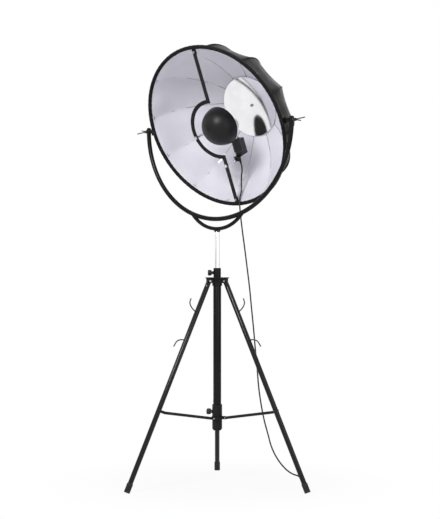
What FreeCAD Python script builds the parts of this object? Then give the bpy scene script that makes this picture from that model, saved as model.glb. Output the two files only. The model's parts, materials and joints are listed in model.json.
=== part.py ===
import FreeCAD
import Part
import math
import os

from FreeCAD import Placement, Rotation, Vector

# Tripod spotlight floor lamp: a sewn fabric shade on a tube yoke, over a folding three-legged stand.
# Millimetres, +Z up, floor at Z = 0. The origin is under the middle of the whole lamp, so the column
# stands STAND_Y beside it. The yoke and the shade are turned and tilted as the lamp is set up.

# Stand: column, hub and mast
STAND_Y = -64.0
COLUMN_OD = 32.0
COLUMN_WALL = 2.5
COLUMN_BOTTOM = 222.0
PLUG_FLANGE = 3.0
PLUG_LENGTH = 18.0
PLATE_TOP = 827.0
PLATE_OD = 96.0
PLATE_THICK = 4.0
HUB_SLEEVE_WALL = 4.0
HUB_SLEEVE_LENGTH = 30.0
CLAMP_OD = 30.0
CLAMP_HEIGHT = 37.0
MAST_OD = 19.0
MAST_WALL = 1.5
MAST_TOP = 1008.0
MAST_LENGTH = 528.0
GLIDE_LENGTH = 30.0
RUNNING_FIT = 0.06
SIDE_GAP = 0.3

# Legs and their hinges
LEG_AZIMUTHS = {"left": -150.0, "right": -30.0, "rear": 90.0}
LEG_ANGLE = 24.2
LEG_OD = 20.0
LEG_WALL = 1.5
HINGE_RADIUS = 37.0
HINGE_DROP = 11.0
HINGE_PIN = 6.0
PIN_HEAD = 9.0
PIN_HEAD_THICK = 1.5
TONGUE_THICK = 8.0
TONGUE_WIDTH = 18.0
TONGUE_NECK = 20.0
TONGUE_SHOULDER = 6.0
TONGUE_PLUG = 40.0
CHEEK_THICK = 5.0
CHEEK_RADIUS = 8.0
FOOT_OD = 24.0
FOOT_LENGTH = 38.0
FOOT_END = 3.0
FOOT_FLAT = 2.5

# Cord hooks on the legs: bent wire, as (outward, up) points square to and along the leg
HOOK_WIRE = 5.0
HOOK_BEND = 9.0
UPPER_HOOK_AT = 135.0
UPPER_HOOK = [(9.0, 0.0), (31.0, 8.0), (46.0, 21.0), (47.0, 40.0)]
LOWER_HOOK_AT = 256.0
LOWER_HOOK = [(9.0, 0.0), (24.0, -5.0), (38.0, -17.0), (41.0, -42.0)]

# Spreader: collar, arms and their pins
COLLAR_OD = 40.0
COLLAR_BOTTOM = 224.0
COLLAR_LENGTH = 98.0
ARM_HINGE_RADIUS = 28.0
ARM_HINGE_RISE = 44.0
ARM_ON_LEG = 551.0
ARM_WIDTH = 11.0
ARM_THICK = 5.0
ARM_CRANK = 22.0
ARM_CRANK_DROP = 4.0
PAD_OD = 14.0
PAD_PROUD = 0.5
EAR_THICK = 5.0

# Clamp knobs
KNOB_OD = 26.0
KNOB_THICK = 15.0
KNOB_STEM = 12.0
KNOB_STEM_LENGTH = 3.0
KNOB_LOBES = 6
KNOB_NOTCH = 3.0
KNOB_CHAMFER = 2.0
KNOB_SCREW = 6.0
BOSS_OD = 14.0
BOSS_PROUD = 4.0
MAST_KNOB_RISE = 18.0
MAST_KNOB_AZIMUTH = 180.0
COLLAR_KNOB_RISE = 69.0
COLLAR_KNOB_AZIMUTH = 165.0

# Yoke, turned on the mast
PIVOT_HEIGHT = 1429.0
YAW = -40.0
YOKE_RADIUS = 370.0
YOKE_OD = 18.0
YOKE_RISE = 12.0
EYE_OD = 16.0
BRACE_OD = 15.0
BRACE_HALF_SPAN = 130.0
BRACE_DROP = 409.0
SPIGOT_LENGTH = 60.0
SPIGOT_FLANGE_OD = 25.0

# Wing screws on the tilt axis
WING_SHANK = 6.0
WING_FLANGE_OD = 16.0
WING_FLANGE = 2.0
WING_BOSS_OD = 12.0
WING_BOSS = 9.0
WING_WIRE = 4.5
WING_LENGTH = 40.0
WING_SPREAD = 23.5
WING_ROLL = 62.0

# Head: tilt, hoop and pivot brackets. Depth is counted back from the hoop's plane.
TILT = 24.65
HOOP_AHEAD = 12.0
HOOP_RADIUS = 330.0
HOOP_OD = 12.0

BRACKET_THICK = 4.0
BRACKET_HALF_HEIGHT = 12.0
CLIP_OD = 16.0
COVER_START = 6.95
NUT_FLATS = 10.0
NUT_HEIGHT = 5.0

# Shade: an ellipse in section, twelve panels pulled in between twelve ribs
SHADE_DEPTH = 270.0
PANELS = 12
FIRST_SEAM = 10.0
PANEL_STEPS = 2
SECTION_ANGLES = [1.3, 15.0, 31.0, 48.0, 65.0, 83.0]
PANEL_PULL = 0.024

FABRIC = 1.0
RIB_SKIN_GAP = 1.0
RIB_THICK = 2.5
RIB_WIDTH = 4.0
LINING_GAP = 0.1
HUB_DISC_RADIUS = 36.0
HUB_BOLT = 8.0
HUB_CAP_RADIUS = 40.0
HUB_CAP_DEPTH = 7.0

# Dish in the bottom of the shade
DISH_RADIUS = 127.0
DISH_RIM_DEPTH = 237.5
DISH_DEPTH = 19.0
DISH_WALL = 1.0
DISH_STEPS = 3

# Cross bar with its loop
BAR_WIDTH = 16.0
BAR_THICK = 4.0
LOOP_RADIUS = 117.0
LOOP_CENTRE = -10.6
BAR_SCREW = 5.0
BAR_SCREW_INSET = 13.0
BAR_SCREW_HEAD = 9.0
CLIP_TAB = 24.0

# Rods, bowl and bowl bracket
ROD_OD = 8.0
ROD_FRONT = 8.0
ROD_BACK = 80.0
ROD_NUT_FLATS = 13.0
ROD_NUT = 4.0
BOWL_ROD_ANGLE = 193.8
HOLDER_ROD_UP = -165.0
BOWL_RADIUS = 78.0
BOWL_WALL = 1.2
BOWL_CENTRE_UP = -8.0
BOWL_CENTRE_DEPTH = 35.0
BOWL_STEPS = 5
BOWL_LIP = 1.5
BRACKET_STRIP = 12.0
BRACKET_STRIP_THICK = 2.0
BRACKET_STRIP_AT = 72.0
BOWL_RIVET = 5.0

# Lampholder, its bracket and the lamp
HOLDER_OD = 37.0
HOLDER_DEPTH = 97.0
HOLDER_BASE = -156.0
HOLDER_TOP = -84.0
HOLDER_BORE = 28.0
HOLDER_PLATE = 2.5
HOLDER_PLATE_HALF = 15.0
HOLDER_PLATE_BACK = 134.0
TERMINAL_WIDTH = 30.0
TERMINAL_TOP = -93.0
LAMP_CAP_OD = 26.5
LAMP_CAP = 40.0
LAMP_NECK_OD = 26.0
LAMP_OD = 60.0
LAMP_LENGTH = 78.0

# Mains cord and where it leaves the lampholder and enters the right leg
CORD_OD = 6.0
CORD_SIDES = 6
ARC_SHARE = 0.45
RELIEF_DEPTH = 90.0
RELIEF_LENGTH = 35.0
RELIEF_OD = 12.0
RELIEF_TIP_OD = 8.0
GROMMET_OD = 12.0
GROMMET_ON_LEG = 820.0
GROMMET_REACH = 14.5
GROMMET_ROOT = 7.0
GROMMET_HEADING = 128.5
CORD_LAST_RUN = 22.0

# The cord's bends from the lampholder to the leg, from the column's foot, at rest
CORD_BENDS = [
    (102.5, 122.0, 1268.9),
    (98.4, 126.4, 1238.4),
    (98.4, 124.9, 1202.6),
    (98.4, 117.1, 1172.4),
    (94.0, 97.9, 1157.8),
    (91.4, 85.5, 1143.8),
    (90.4, 75.7, 1128.0),
    (91.5, 76.6, 1104.0),
    (96.0, 79.0, 1059.0),
    (103.0, 81.0, 1002.0),
    (112.0, 80.0, 936.0),
    (121.0, 76.0, 862.0),
    (131.0, 71.0, 782.0),
    (138.0, 63.0, 702.0),
    (146.0, 58.0, 624.0),
    (152.0, 49.0, 547.0),
    (160.0, 44.0, 470.0),
    (165.0, 35.0, 390.0),
    (176.0, 24.0, 313.0),
    (188.0, 8.0, 252.0),
    (202.0, -14.0, 203.0),
    (213.0, -42.0, 158.0),
    (234.0, -78.0, 117.0),
    (259.0, -116.0, 88.0),
    (280.0, -138.0, 72.0),
]
# Each stretch ends at the middle of the run after the bend of this number, counted from 1
CORD_STRETCHES = {"cord_head": 7, "cord_tilt": 11, "cord_turn": 14, "cord_lift": 19, "cord_leg": None}

# How finely rounds are divided
# (diameter under, sides)
ROUND_SIDES = [(12.5, 8), (18.5, 10), (50, 20)]
PLATE_SIDES = 24
TUBE_SIDES = 8
HOOP_SIDES = 6
WIRE_SIDES = 6
HOOP_STEPS = 44
YOKE_STEPS = 26
BRACE_STEPS = 12
LOOP_STEPS = 20
DISH_SIDES = 24
BOWL_SIDES = 24
CAP_SIDES = 16
HOLDER_SIDES = 12
END_STEPS = 4
LOBE_STEPS = 4

ORIGIN = Vector(0, 0, 0)
RIGHT = Vector(1, 0, 0)
BACK = Vector(0, 1, 0)
UP = Vector(0, 0, 1)

PLATE_BOTTOM = PLATE_TOP - PLATE_THICK
HINGE_HEIGHT = PLATE_BOTTOM - HINGE_DROP
CHEEK_INNER = TONGUE_THICK / 2 + SIDE_GAP
CHEEK_OUTER = CHEEK_INNER + CHEEK_THICK
ANGLE = math.radians(LEG_ANGLE)
LEG_LENGTH = (HINGE_HEIGHT + FOOT_FLAT - FOOT_OD / 2 * math.sin(ANGLE)) / math.cos(ANGLE)
ARM_INNER = LEG_OD / 2 + PAD_PROUD + SIDE_GAP
ARM_OUTER = ARM_INNER + ARM_THICK
ARM_HINGE_HEIGHT = COLLAR_BOTTOM + ARM_HINGE_RISE
ARM_RISE = HINGE_HEIGHT - ARM_ON_LEG * math.cos(ANGLE) - ARM_HINGE_HEIGHT
ARM_RUN = HINGE_RADIUS + ARM_ON_LEG * math.sin(ANGLE) - ARM_HINGE_RADIUS
YOKE_INNER = YOKE_RADIUS - YOKE_OD / 2
YOKE_OUTER = YOKE_RADIUS + YOKE_OD / 2
HOOP_OUTER = HOOP_RADIUS + HOOP_OD / 2
HOOP_INNER = HOOP_RADIUS - HOOP_OD / 2
PLATE_FACE = HOOP_OUTER + BRACKET_THICK
BORE = HINGE_PIN / 2 + RUNNING_FIT

YOKE_PLACE = Placement(Vector(0, 0, PIVOT_HEIGHT), Rotation(UP, YAW))
HEAD_PLACE = YOKE_PLACE.multiply(Placement(ORIGIN, Rotation(RIGHT, TILT)))
# Turned parts of the head are made about +Z, which this lays along the shade's depth
DEPTH_PLACE = Placement(Vector(0, -HOOP_AHEAD, 0), Rotation(RIGHT, -90))
# Turned arcs are made flat and stood up by this, their +Y up
UPRIGHT = Placement(ORIGIN, Rotation(RIGHT, 90))
HOLDER_AXIS = Placement(Vector(0, HOLDER_DEPTH - HOOP_AHEAD, 0), Rotation())


def block(x0, x1, y0, y1, z0, z1):
    """A box between two corners."""
    return Part.makeBox(x1 - x0, y1 - y0, z1 - z0, Vector(x0, y0, z0))


def sides_for(diameter):
    """How many sides a round piece gets."""
    for limit, sides in ROUND_SIDES:
        if diameter < limit:
            return sides
    return PLATE_SIDES


def round_points(diameter, middle, axis, sides):
    """The corners of a many-sided round about an axis, on its circle."""
    axis = Vector(axis).normalize()
    across = axis.cross(RIGHT if abs(axis.z) > 0.9 else UP).normalize()
    over = axis.cross(across)
    points = []
    for side in range(sides):
        turn = 2 * math.pi * side / sides
        points.append(middle + (across * math.cos(turn) + over * math.sin(turn)) * (diameter / 2))
    return points


def rod(diameter, start, end):
    """A round bar between two points, its corners on the circle."""
    return extruded(round_points(diameter, start, end - start, sides_for(diameter)), end - start)


def hole(diameter, start, end):
    """What a round hole takes away between two points, its flats on the circle."""
    sides = sides_for(diameter)
    corner = diameter / math.cos(math.pi / sides)
    return extruded(round_points(corner, start, end - start, sides), end - start)


def flat_face(points):
    """A flat face with the given corners."""
    return Part.Face(Part.makePolygon(points + points[:1]))


def closed(faces):
    """A solid from all of its faces."""
    shell = Part.Shell(faces)
    shell.sewShape()
    solid = Part.Solid(shell)
    if solid.Volume < 0:
        solid.reverse()
    return solid


def bridge(low, high):
    """Flat faces between two rings of as many points, split in triangles where four are not flat."""
    faces = []
    for number in range(len(low)):
        after = (number + 1) % len(low)
        corners = [low[number], low[after], high[after], high[number]]
        corners = [point for i, point in enumerate(corners) if (point - corners[i - 1]).Length > 1e-6]
        if len(corners) < 3:
            continue
        if len(corners) == 4:
            square = (corners[1] - corners[0]).cross(corners[2] - corners[0]).normalize()
            if abs(square.dot(corners[3] - corners[0])) > 1e-6:
                faces.append(flat_face([corners[0], corners[1], corners[2]]))
                corners = [corners[0], corners[2], corners[3]]
        faces.append(flat_face(corners))
    return faces


def stacked(rings):
    """A solid through rings of points, closed flat at both ends."""
    faces = [flat_face(rings[0]), flat_face(rings[-1])]
    for low, high in zip(rings, rings[1:]):
        faces += bridge(low, high)
    return closed(faces)


def turned(profile, sides, start=0.0, sweep=360.0):
    """A many-sided solid turned about +Z from (radius, height) corners, all round or part of it."""
    rings = []
    for step in range(sides + 1):
        turn = math.radians(start + sweep * step / sides)
        rings.append([Vector(radius * math.cos(turn), radius * math.sin(turn), height) for radius, height in profile])
    if sweep < 360:
        return stacked(rings)
    faces = []
    for low, high in zip(rings, rings[1:-1] + rings[:1]):
        faces += bridge(low, high)
    return closed(faces).removeSplitter()


def bent_wire(points, radius, diameter):
    """A round wire through points, each bend of one radius made in one chord."""
    path = [points[0]]
    for before, corner, after in zip(points, points[1:], points[2:]):
        path += bend(before, corner, after, radius)[0:3:2]
    path.append(points[-1])
    ring = round_points(diameter, path[0], path[1] - path[0], WIRE_SIDES)
    rings = [ring]
    for before, corner, after in zip(path, path[1:], path[2:]):
        along = (corner - before).normalize()
        mitre = (along + (after - corner).normalize()).normalize()
        ring = [point + along * ((corner - point).dot(mitre) / along.dot(mitre)) for point in ring]
        rings.append(ring)
    along = (path[-1] - path[-2]).normalize()
    rings.append([point + along * (path[-1] - point).dot(along) for point in ring])
    return stacked(rings)


def extruded(points, along):
    """A flat outline of points, made thick along a vector."""
    return flat_face(points).extrude(along)


def joined(*shapes):
    """Shapes fused into one solid."""
    return shapes[0].multiFuse(list(shapes[1:])).removeSplitter()


def moved(shape, *placements):
    """A copy of a shape taken through placements, the innermost last."""
    copy = shape.copy()
    for place in reversed(placements):
        copy.Placement = place.multiply(copy.Placement)
    return copy


def bend(before, corner, after, radius=None):
    """The start, middle, end and radius of the arc that rounds a corner of a route."""
    back = (before - corner).normalize()
    ahead = (after - corner).normalize()
    half_turn = (math.pi - back.getAngle(ahead)) / 2
    if radius is None:
        shorter = min((before - corner).Length, (after - corner).Length)
        radius = ARC_SHARE * shorter / math.tan(half_turn)
    reach = radius * math.tan(half_turn)
    inward = (back + ahead).normalize() * (radius / math.cos(half_turn) - radius)
    return corner + back * reach, corner + inward, corner + ahead * reach, radius


def swept(edges, profile):
    """A bar with the given section along a chain of edges."""
    return Part.Wire(edges).makePipeShell([profile], True, False)


def largest(shape):
    """The largest solid of a shape that a cut has left in pieces."""
    return max(shape.Solids, key=lambda solid: solid.Volume)


def tube_section(radius, diameter, sides=TUBE_SIDES):
    """Corners of a tube's section for turning, flats on its outside, as (radius, height)."""
    corners = []
    for side in range(sides):
        turn = 2 * math.pi * (side + 0.5) / sides
        reach = diameter / 2 / math.cos(math.pi / sides)
        corners.append((radius + reach * math.cos(turn), reach * math.sin(turn)))
    return corners


def leg_place(azimuth):
    """The frame of a leg: hinge at its origin, leg down -Z, outward +X, leaning as it stands."""
    turn = Placement(ORIGIN, Rotation(UP, azimuth))
    hinge = Placement(Vector(HINGE_RADIUS, 0, HINGE_HEIGHT), Rotation(BACK, -LEG_ANGLE))
    return turn.multiply(hinge)


def around(azimuth):
    """The turn that carries a part from +X to an azimuth about the column."""
    return Placement(ORIGIN, Rotation(UP, azimuth))


# ---------------------------------------------------------------- stand


def column():
    """The upright tube between the collar's lower end and the hub's plate."""
    low = Vector(0, 0, COLUMN_BOTTOM)
    top = Vector(0, 0, PLATE_BOTTOM)
    return rod(COLUMN_OD, low, top).cut(rod(COLUMN_OD - 2 * COLUMN_WALL, low, top))


def column_plug():
    """The cap in the column's lower end."""
    low = COLUMN_BOTTOM - PLUG_FLANGE
    flange = rod(COLUMN_OD, Vector(0, 0, low), Vector(0, 0, COLUMN_BOTTOM))
    plug = rod(COLUMN_OD - 2 * COLUMN_WALL, Vector(0, 0, low), Vector(0, 0, low + PLUG_LENGTH))
    return joined(flange, plug)


def cheek():
    """One cheek of a leg's clevis, from the hub's sleeve out round the pin."""
    inner = COLUMN_OD / 2 + HUB_SLEEVE_WALL / 2
    outer = HINGE_RADIUS + CHEEK_RADIUS
    low = HINGE_HEIGHT - CHEEK_RADIUS
    corners = [Vector(inner, 0, low), Vector(inner, 0, PLATE_BOTTOM), Vector(outer, 0, PLATE_BOTTOM)]
    for step in range(3):
        turn = math.pi / 2 * step / 2
        reach = Vector(math.cos(turn), 0, -math.sin(turn)) * CHEEK_RADIUS
        corners.append(Vector(HINGE_RADIUS, 0, HINGE_HEIGHT) + reach)
    return extruded(corners, Vector(0, CHEEK_THICK, 0))


def hub():
    """The cast hub: sleeve on the column, round plate, three clevises and the mast's clamp."""
    sleeve = COLUMN_OD / 2 + HUB_SLEEVE_WALL
    low = PLATE_BOTTOM - HUB_SLEEVE_LENGTH
    clamp_top = PLATE_TOP + CLAMP_HEIGHT
    profile = [(0, low), (sleeve, low), (sleeve, PLATE_BOTTOM), (PLATE_OD / 2, PLATE_BOTTOM)]
    profile += [(PLATE_OD / 2, PLATE_TOP), (CLAMP_OD / 2, PLATE_TOP), (CLAMP_OD / 2, clamp_top), (0, clamp_top)]
    knob_height = PLATE_TOP + MAST_KNOB_RISE
    boss_end = CLAMP_OD / 2 + BOSS_PROUD
    boss = rod(BOSS_OD, Vector(MAST_OD / 2 + 1, 0, knob_height), Vector(boss_end, 0, knob_height))
    pieces = [turned(profile, PLATE_SIDES), moved(boss, around(MAST_KNOB_AZIMUTH))]
    for azimuth in LEG_AZIMUTHS.values():
        for side in (CHEEK_INNER, -CHEEK_OUTER):
            pieces.append(moved(cheek(), around(azimuth), Placement(Vector(0, side, 0), Rotation())))
    body = joined(*pieces)
    body = body.cut(hole(MAST_OD + 2 * RUNNING_FIT, Vector(0, 0, low), Vector(0, 0, clamp_top)))
    body = body.cut(rod(COLUMN_OD, Vector(0, 0, low), Vector(0, 0, PLATE_BOTTOM)))
    screw_hole = hole(KNOB_SCREW + 2 * RUNNING_FIT, Vector(0, 0, knob_height), Vector(boss_end, 0, knob_height))
    body = body.cut(moved(screw_hole, around(MAST_KNOB_AZIMUTH)))
    for azimuth in LEG_AZIMUTHS.values():
        pin_hole = rod(HINGE_PIN, Vector(HINGE_RADIUS, -CHEEK_OUTER, HINGE_HEIGHT),
                       Vector(HINGE_RADIUS, CHEEK_OUTER, HINGE_HEIGHT))
        body = body.cut(moved(pin_hole, around(azimuth)))
    return body


def hub_pins():
    """The three leg hinge pins, headed at one end."""
    pins = []
    for azimuth in LEG_AZIMUTHS.values():
        shank = rod(HINGE_PIN, Vector(0, -CHEEK_OUTER - PIN_HEAD_THICK, 0), Vector(0, CHEEK_OUTER, 0))
        outer = Vector(0, CHEEK_OUTER, 0)
        head = rod(PIN_HEAD, outer, outer + BACK * PIN_HEAD_THICK)
        place = Placement(Vector(HINGE_RADIUS, 0, HINGE_HEIGHT), Rotation())
        pins.append(moved(joined(shank, head), around(azimuth), place))
    return Part.makeCompound(pins)


# ---------------------------------------------------------------- legs


def leg_tongue():
    """The eye and plug in a leg's top end, in the leg's frame."""
    half = TONGUE_THICK / 2
    eye = rod(TONGUE_WIDTH, Vector(0, -half, 0), Vector(0, half, 0))
    blade = block(-TONGUE_WIDTH / 2, TONGUE_WIDTH / 2, -half, half, -TONGUE_NECK - 1, 0)
    shoulder_end = TONGUE_NECK + TONGUE_SHOULDER
    shoulder = rod(LEG_OD, Vector(0, 0, -shoulder_end), Vector(0, 0, -TONGUE_NECK))
    bore = LEG_OD - 2 * LEG_WALL
    plug = rod(bore, Vector(0, 0, -shoulder_end - TONGUE_PLUG), Vector(0, 0, -shoulder_end))
    solid = joined(eye, blade, shoulder, plug)
    return solid.cut(hole(2 * BORE, Vector(0, -half, 0), Vector(0, half, 0)))


def leg_tube(has_grommet):
    """A leg's tube with the pad that the spreader's arm bears on, in the leg's frame."""
    top = Vector(0, 0, -TONGUE_NECK - TONGUE_SHOULDER)
    end = Vector(0, 0, FOOT_END - LEG_LENGTH)
    pad = rod(PAD_OD, Vector(0, LEG_OD / 3, -ARM_ON_LEG), Vector(0, LEG_OD / 2 + PAD_PROUD, -ARM_ON_LEG))
    tube = joined(rod(LEG_OD, top, end), pad)
    tube = tube.cut(rod(LEG_OD - 2 * LEG_WALL, top, end))
    if has_grommet:
        tube = tube.cut(grommet_bar(GROMMET_OD, 0))
    return tube


def leg_foot():
    """The rubber cap on a leg's lower end."""
    mouth = Vector(0, 0, FOOT_LENGTH - LEG_LENGTH)
    cap = rod(FOOT_OD, mouth, Vector(0, 0, -LEG_LENGTH))
    return cap.cut(rod(LEG_OD, mouth, Vector(0, 0, FOOT_END - LEG_LENGTH)))


def on_floor(foot):
    """A foot, placed on the stand, without what would lie under the floor."""
    reach = HINGE_RADIUS + LEG_LENGTH
    return foot.cut(block(-reach, reach, -reach, reach, -FOOT_OD, 0))


def leg_hooks():
    """The two wire hooks on a leg, cut to the tube they are welded to."""
    hooks = []
    for place, route in ((UPPER_HOOK_AT, UPPER_HOOK), (LOWER_HOOK_AT, LOWER_HOOK)):
        points = [Vector(out, 0, rise - place) for out, rise in route]
        hooks.append(bent_wire(points, HOOK_BEND, HOOK_WIRE))
    tube = rod(LEG_OD, ORIGIN, Vector(0, 0, -LEG_LENGTH))
    return Part.makeCompound([largest(hook.cut(tube)) for hook in hooks])


def grommet_bar(diameter, start, place=leg_place(LEG_AZIMUTHS["right"])):
    """A bar from the right leg's middle toward the cord, in the leg's frame."""
    heading = math.radians(GROMMET_HEADING)
    toward = place.Rotation.inverted().multVec(Vector(math.cos(heading), math.sin(heading), 0))
    middle = Vector(0, 0, -GROMMET_ON_LEG)
    return rod(diameter, middle + toward * start, middle + toward * GROMMET_REACH)


def cord_grommet():
    """The rubber bush in the right leg, in the leg's frame."""
    return grommet_bar(GROMMET_OD, GROMMET_ROOT)


# ---------------------------------------------------------------- spreader


def collar():
    """The sliding collar with an ear for each arm and the boss of its clamp screw."""
    low = Vector(0, 0, COLLAR_BOTTOM)
    top = low + UP * COLLAR_LENGTH
    pieces = [rod(COLLAR_OD, low, top)]
    ear_radius = ARM_WIDTH / 2 + 1
    side = ARM_OUTER + SIDE_GAP
    for azimuth in LEG_AZIMUTHS.values():
        root = Vector(-ear_radius, side, ARM_HINGE_HEIGHT)
        ear = strip(root, Vector(ARM_HINGE_RADIUS, side, ARM_HINGE_HEIGHT), 2 * ear_radius, EAR_THICK)
        pieces.append(moved(ear, around(azimuth)))
    knob_height = COLLAR_BOTTOM + COLLAR_KNOB_RISE
    boss_end = COLLAR_OD / 2 + BOSS_PROUD
    boss = rod(BOSS_OD, Vector(COLUMN_OD / 2 + 1, 0, knob_height), Vector(boss_end, 0, knob_height))
    pieces.append(moved(boss, around(COLLAR_KNOB_AZIMUTH)))
    body = joined(*pieces).cut(hole(COLUMN_OD + 2 * RUNNING_FIT, low, top))
    screw_hole = hole(KNOB_SCREW + 2 * RUNNING_FIT, Vector(0, 0, knob_height), Vector(boss_end, 0, knob_height))
    body = body.cut(moved(screw_hole, around(COLLAR_KNOB_AZIMUTH)))
    for azimuth in LEG_AZIMUTHS.values():
        pin_hole = rod(HINGE_PIN, Vector(ARM_HINGE_RADIUS, ARM_OUTER, ARM_HINGE_HEIGHT),
                       Vector(ARM_HINGE_RADIUS, ARM_OUTER + 2 * EAR_THICK, ARM_HINGE_HEIGHT))
        body = body.cut(moved(pin_hole, around(azimuth)))
    return body


def collar_pins():
    """The three pins that carry the arms, held in the collar's ears."""
    pins = []
    for azimuth in LEG_AZIMUTHS.values():
        outer_end = ARM_OUTER + SIDE_GAP + EAR_THICK
        head_end = ARM_INNER - SIDE_GAP / 2
        shank = rod(HINGE_PIN, Vector(0, head_end, 0), Vector(0, outer_end + PIN_HEAD_THICK, 0))
        head = rod(PIN_HEAD - 1, Vector(0, head_end - PIN_HEAD_THICK + SIDE_GAP, 0), Vector(0, head_end, 0))
        place = Placement(Vector(ARM_HINGE_RADIUS, 0, ARM_HINGE_HEIGHT), Rotation())
        pins.append(moved(joined(shank, head), around(azimuth), place))
    return Part.makeCompound(pins)


def strip(start, end, width, thick):
    """A flat bar with round ends between two points of one Y, thickened toward +Y."""
    along = (end - start).normalize() * (width / 2)
    across = Vector(-along.z, 0, along.x)
    outline = []
    for middle, facing in ((end, 1), (start, -1)):
        for step in range(END_STEPS + 1):
            turn = math.pi * (0.5 - step / END_STEPS)
            outline.append(middle + (along * math.cos(turn) + across * math.sin(turn)) * facing)
    return extruded(outline, BACK * thick)


def arm():
    """A spreader arm with its crank and the rivet of its outer joint, at azimuth 0."""
    inner = Vector(ARM_HINGE_RADIUS, ARM_INNER, ARM_HINGE_HEIGHT)
    outer = inner + Vector(ARM_RUN, 0, ARM_RISE)
    along = (outer - inner).normalize()
    crank = outer - along * ARM_CRANK + Vector(along.z, 0, -along.x) * ARM_CRANK_DROP
    bar = joined(strip(inner, crank, ARM_WIDTH, ARM_THICK), strip(crank, outer, ARM_WIDTH, ARM_THICK))
    bar = bar.cut(hole(2 * BORE, inner, inner + BACK * ARM_THICK))
    rivet = rod(PIN_HEAD, outer + BACK * ARM_THICK, outer + BACK * (ARM_THICK + PIN_HEAD_THICK))
    return joined(bar, rivet)


# ---------------------------------------------------------------- clamp knobs and mast


def knob_at_x(stem_start):
    """A lobed clamp knob on +X, its stem starting at a distance from the column's axis."""
    body_start = stem_start + KNOB_STEM_LENGTH
    body_end = body_start + KNOB_THICK
    rings = []
    for inset, distance in ((KNOB_CHAMFER, body_start), (0.0, body_start + KNOB_CHAMFER),
                            (0.0, body_end - KNOB_CHAMFER), (KNOB_CHAMFER, body_end)):
        ring = []
        for step in range(KNOB_LOBES * LOBE_STEPS):
            turn = 2 * math.pi * step / (KNOB_LOBES * LOBE_STEPS)
            wave = KNOB_NOTCH * (1 - math.cos(KNOB_LOBES * turn)) / 2
            reach = (KNOB_OD / 2 - wave) * (1 - 2 * inset / KNOB_OD)
            ring.append(Vector(distance, reach * math.cos(turn), reach * math.sin(turn)))
        rings.append(ring)
    stem = rod(KNOB_STEM, RIGHT * stem_start, RIGHT * (body_start + 1))
    return joined(stacked(rings), stem).cut(rod(KNOB_SCREW, RIGHT * stem_start, RIGHT * body_end))


def screw_at_x(tip, stem_start):
    """The knob's screw, from its tip to the knob's outer face."""
    return rod(KNOB_SCREW, Vector(tip, 0, 0), Vector(stem_start + KNOB_STEM_LENGTH + KNOB_THICK, 0, 0))


def knob_place(azimuth, height):
    """Where a clamp knob's axis lies."""
    return Placement(Vector(0, 0, height), Rotation(UP, azimuth))


def mast():
    """The bright tube that slides in the column."""
    low = Vector(0, 0, MAST_TOP - MAST_LENGTH)
    top = Vector(0, 0, MAST_TOP)
    return rod(MAST_OD, low, top).cut(hole(MAST_OD - 2 * MAST_WALL, low, top))


def mast_glide():
    """The nylon guide round the mast's lower end."""
    outer = COLUMN_OD - 2 * COLUMN_WALL - 2 * RUNNING_FIT
    low = Vector(0, 0, MAST_TOP - MAST_LENGTH)
    top = low + UP * GLIDE_LENGTH
    return rod(outer, low, top).cut(rod(MAST_OD, low, top))


# ---------------------------------------------------------------- yoke, in the yoke's frame


def yoke_tube():
    """The half-circle fork with a bush through each end."""
    arc = moved(turned(tube_section(YOKE_RADIUS, YOKE_OD), YOKE_STEPS, 180, 180), UPRIGHT)
    pieces = [arc]
    holes = []
    for side in (-1, 1):
        end = Vector(side * YOKE_RADIUS, 0, 0)
        inner = Vector(side * (YOKE_INNER - SIDE_GAP), 0, 0)
        outer = Vector(side * (YOKE_OUTER + SIDE_GAP), 0, 0)
        corners = [Vector(side * radius, depth, 0) for radius, depth in tube_section(YOKE_RADIUS, YOKE_OD)]
        pieces += [extruded(corners, UP * YOKE_RISE), rod(EYE_OD, inner, outer)]
        holes.append(hole(WING_SHANK + 2 * RUNNING_FIT, inner, outer))
    return joined(*pieces).cut(holes[0]).cut(holes[1])


def brace_centre():
    """The height of the brace's centre and its radius."""
    end = math.sqrt(YOKE_RADIUS**2 - BRACE_HALF_SPAN**2)
    drop = BRACE_DROP - end
    radius = (BRACE_HALF_SPAN**2 + drop**2) / (2 * drop)
    return radius - BRACE_DROP, radius


def yoke_brace():
    """The arc under the fork that carries it on the mast."""
    height, radius = brace_centre()
    half = math.degrees(math.asin(BRACE_HALF_SPAN / radius))
    tube = turned(tube_section(radius, BRACE_OD), BRACE_STEPS, 270 - half, 2 * half)
    tube = moved(tube, Placement(Vector(0, 0, height), Rotation()), UPRIGHT)
    return largest(tube.cut(yoke_tube()))


def yoke_spigot():
    """The pin under the brace that turns in the mast."""
    pin = MAST_OD - 2 * MAST_WALL - 2 * RUNNING_FIT
    seat = MAST_TOP + SIDE_GAP - PIVOT_HEIGHT
    flange = rod(SPIGOT_FLANGE_OD, Vector(0, 0, seat), Vector(0, 0, -BRACE_DROP - BRACE_OD / 4))
    shank = rod(pin, Vector(0, 0, seat - SPIGOT_LENGTH), Vector(0, 0, seat))
    return largest(joined(flange, shank).cut(yoke_brace()))


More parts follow.
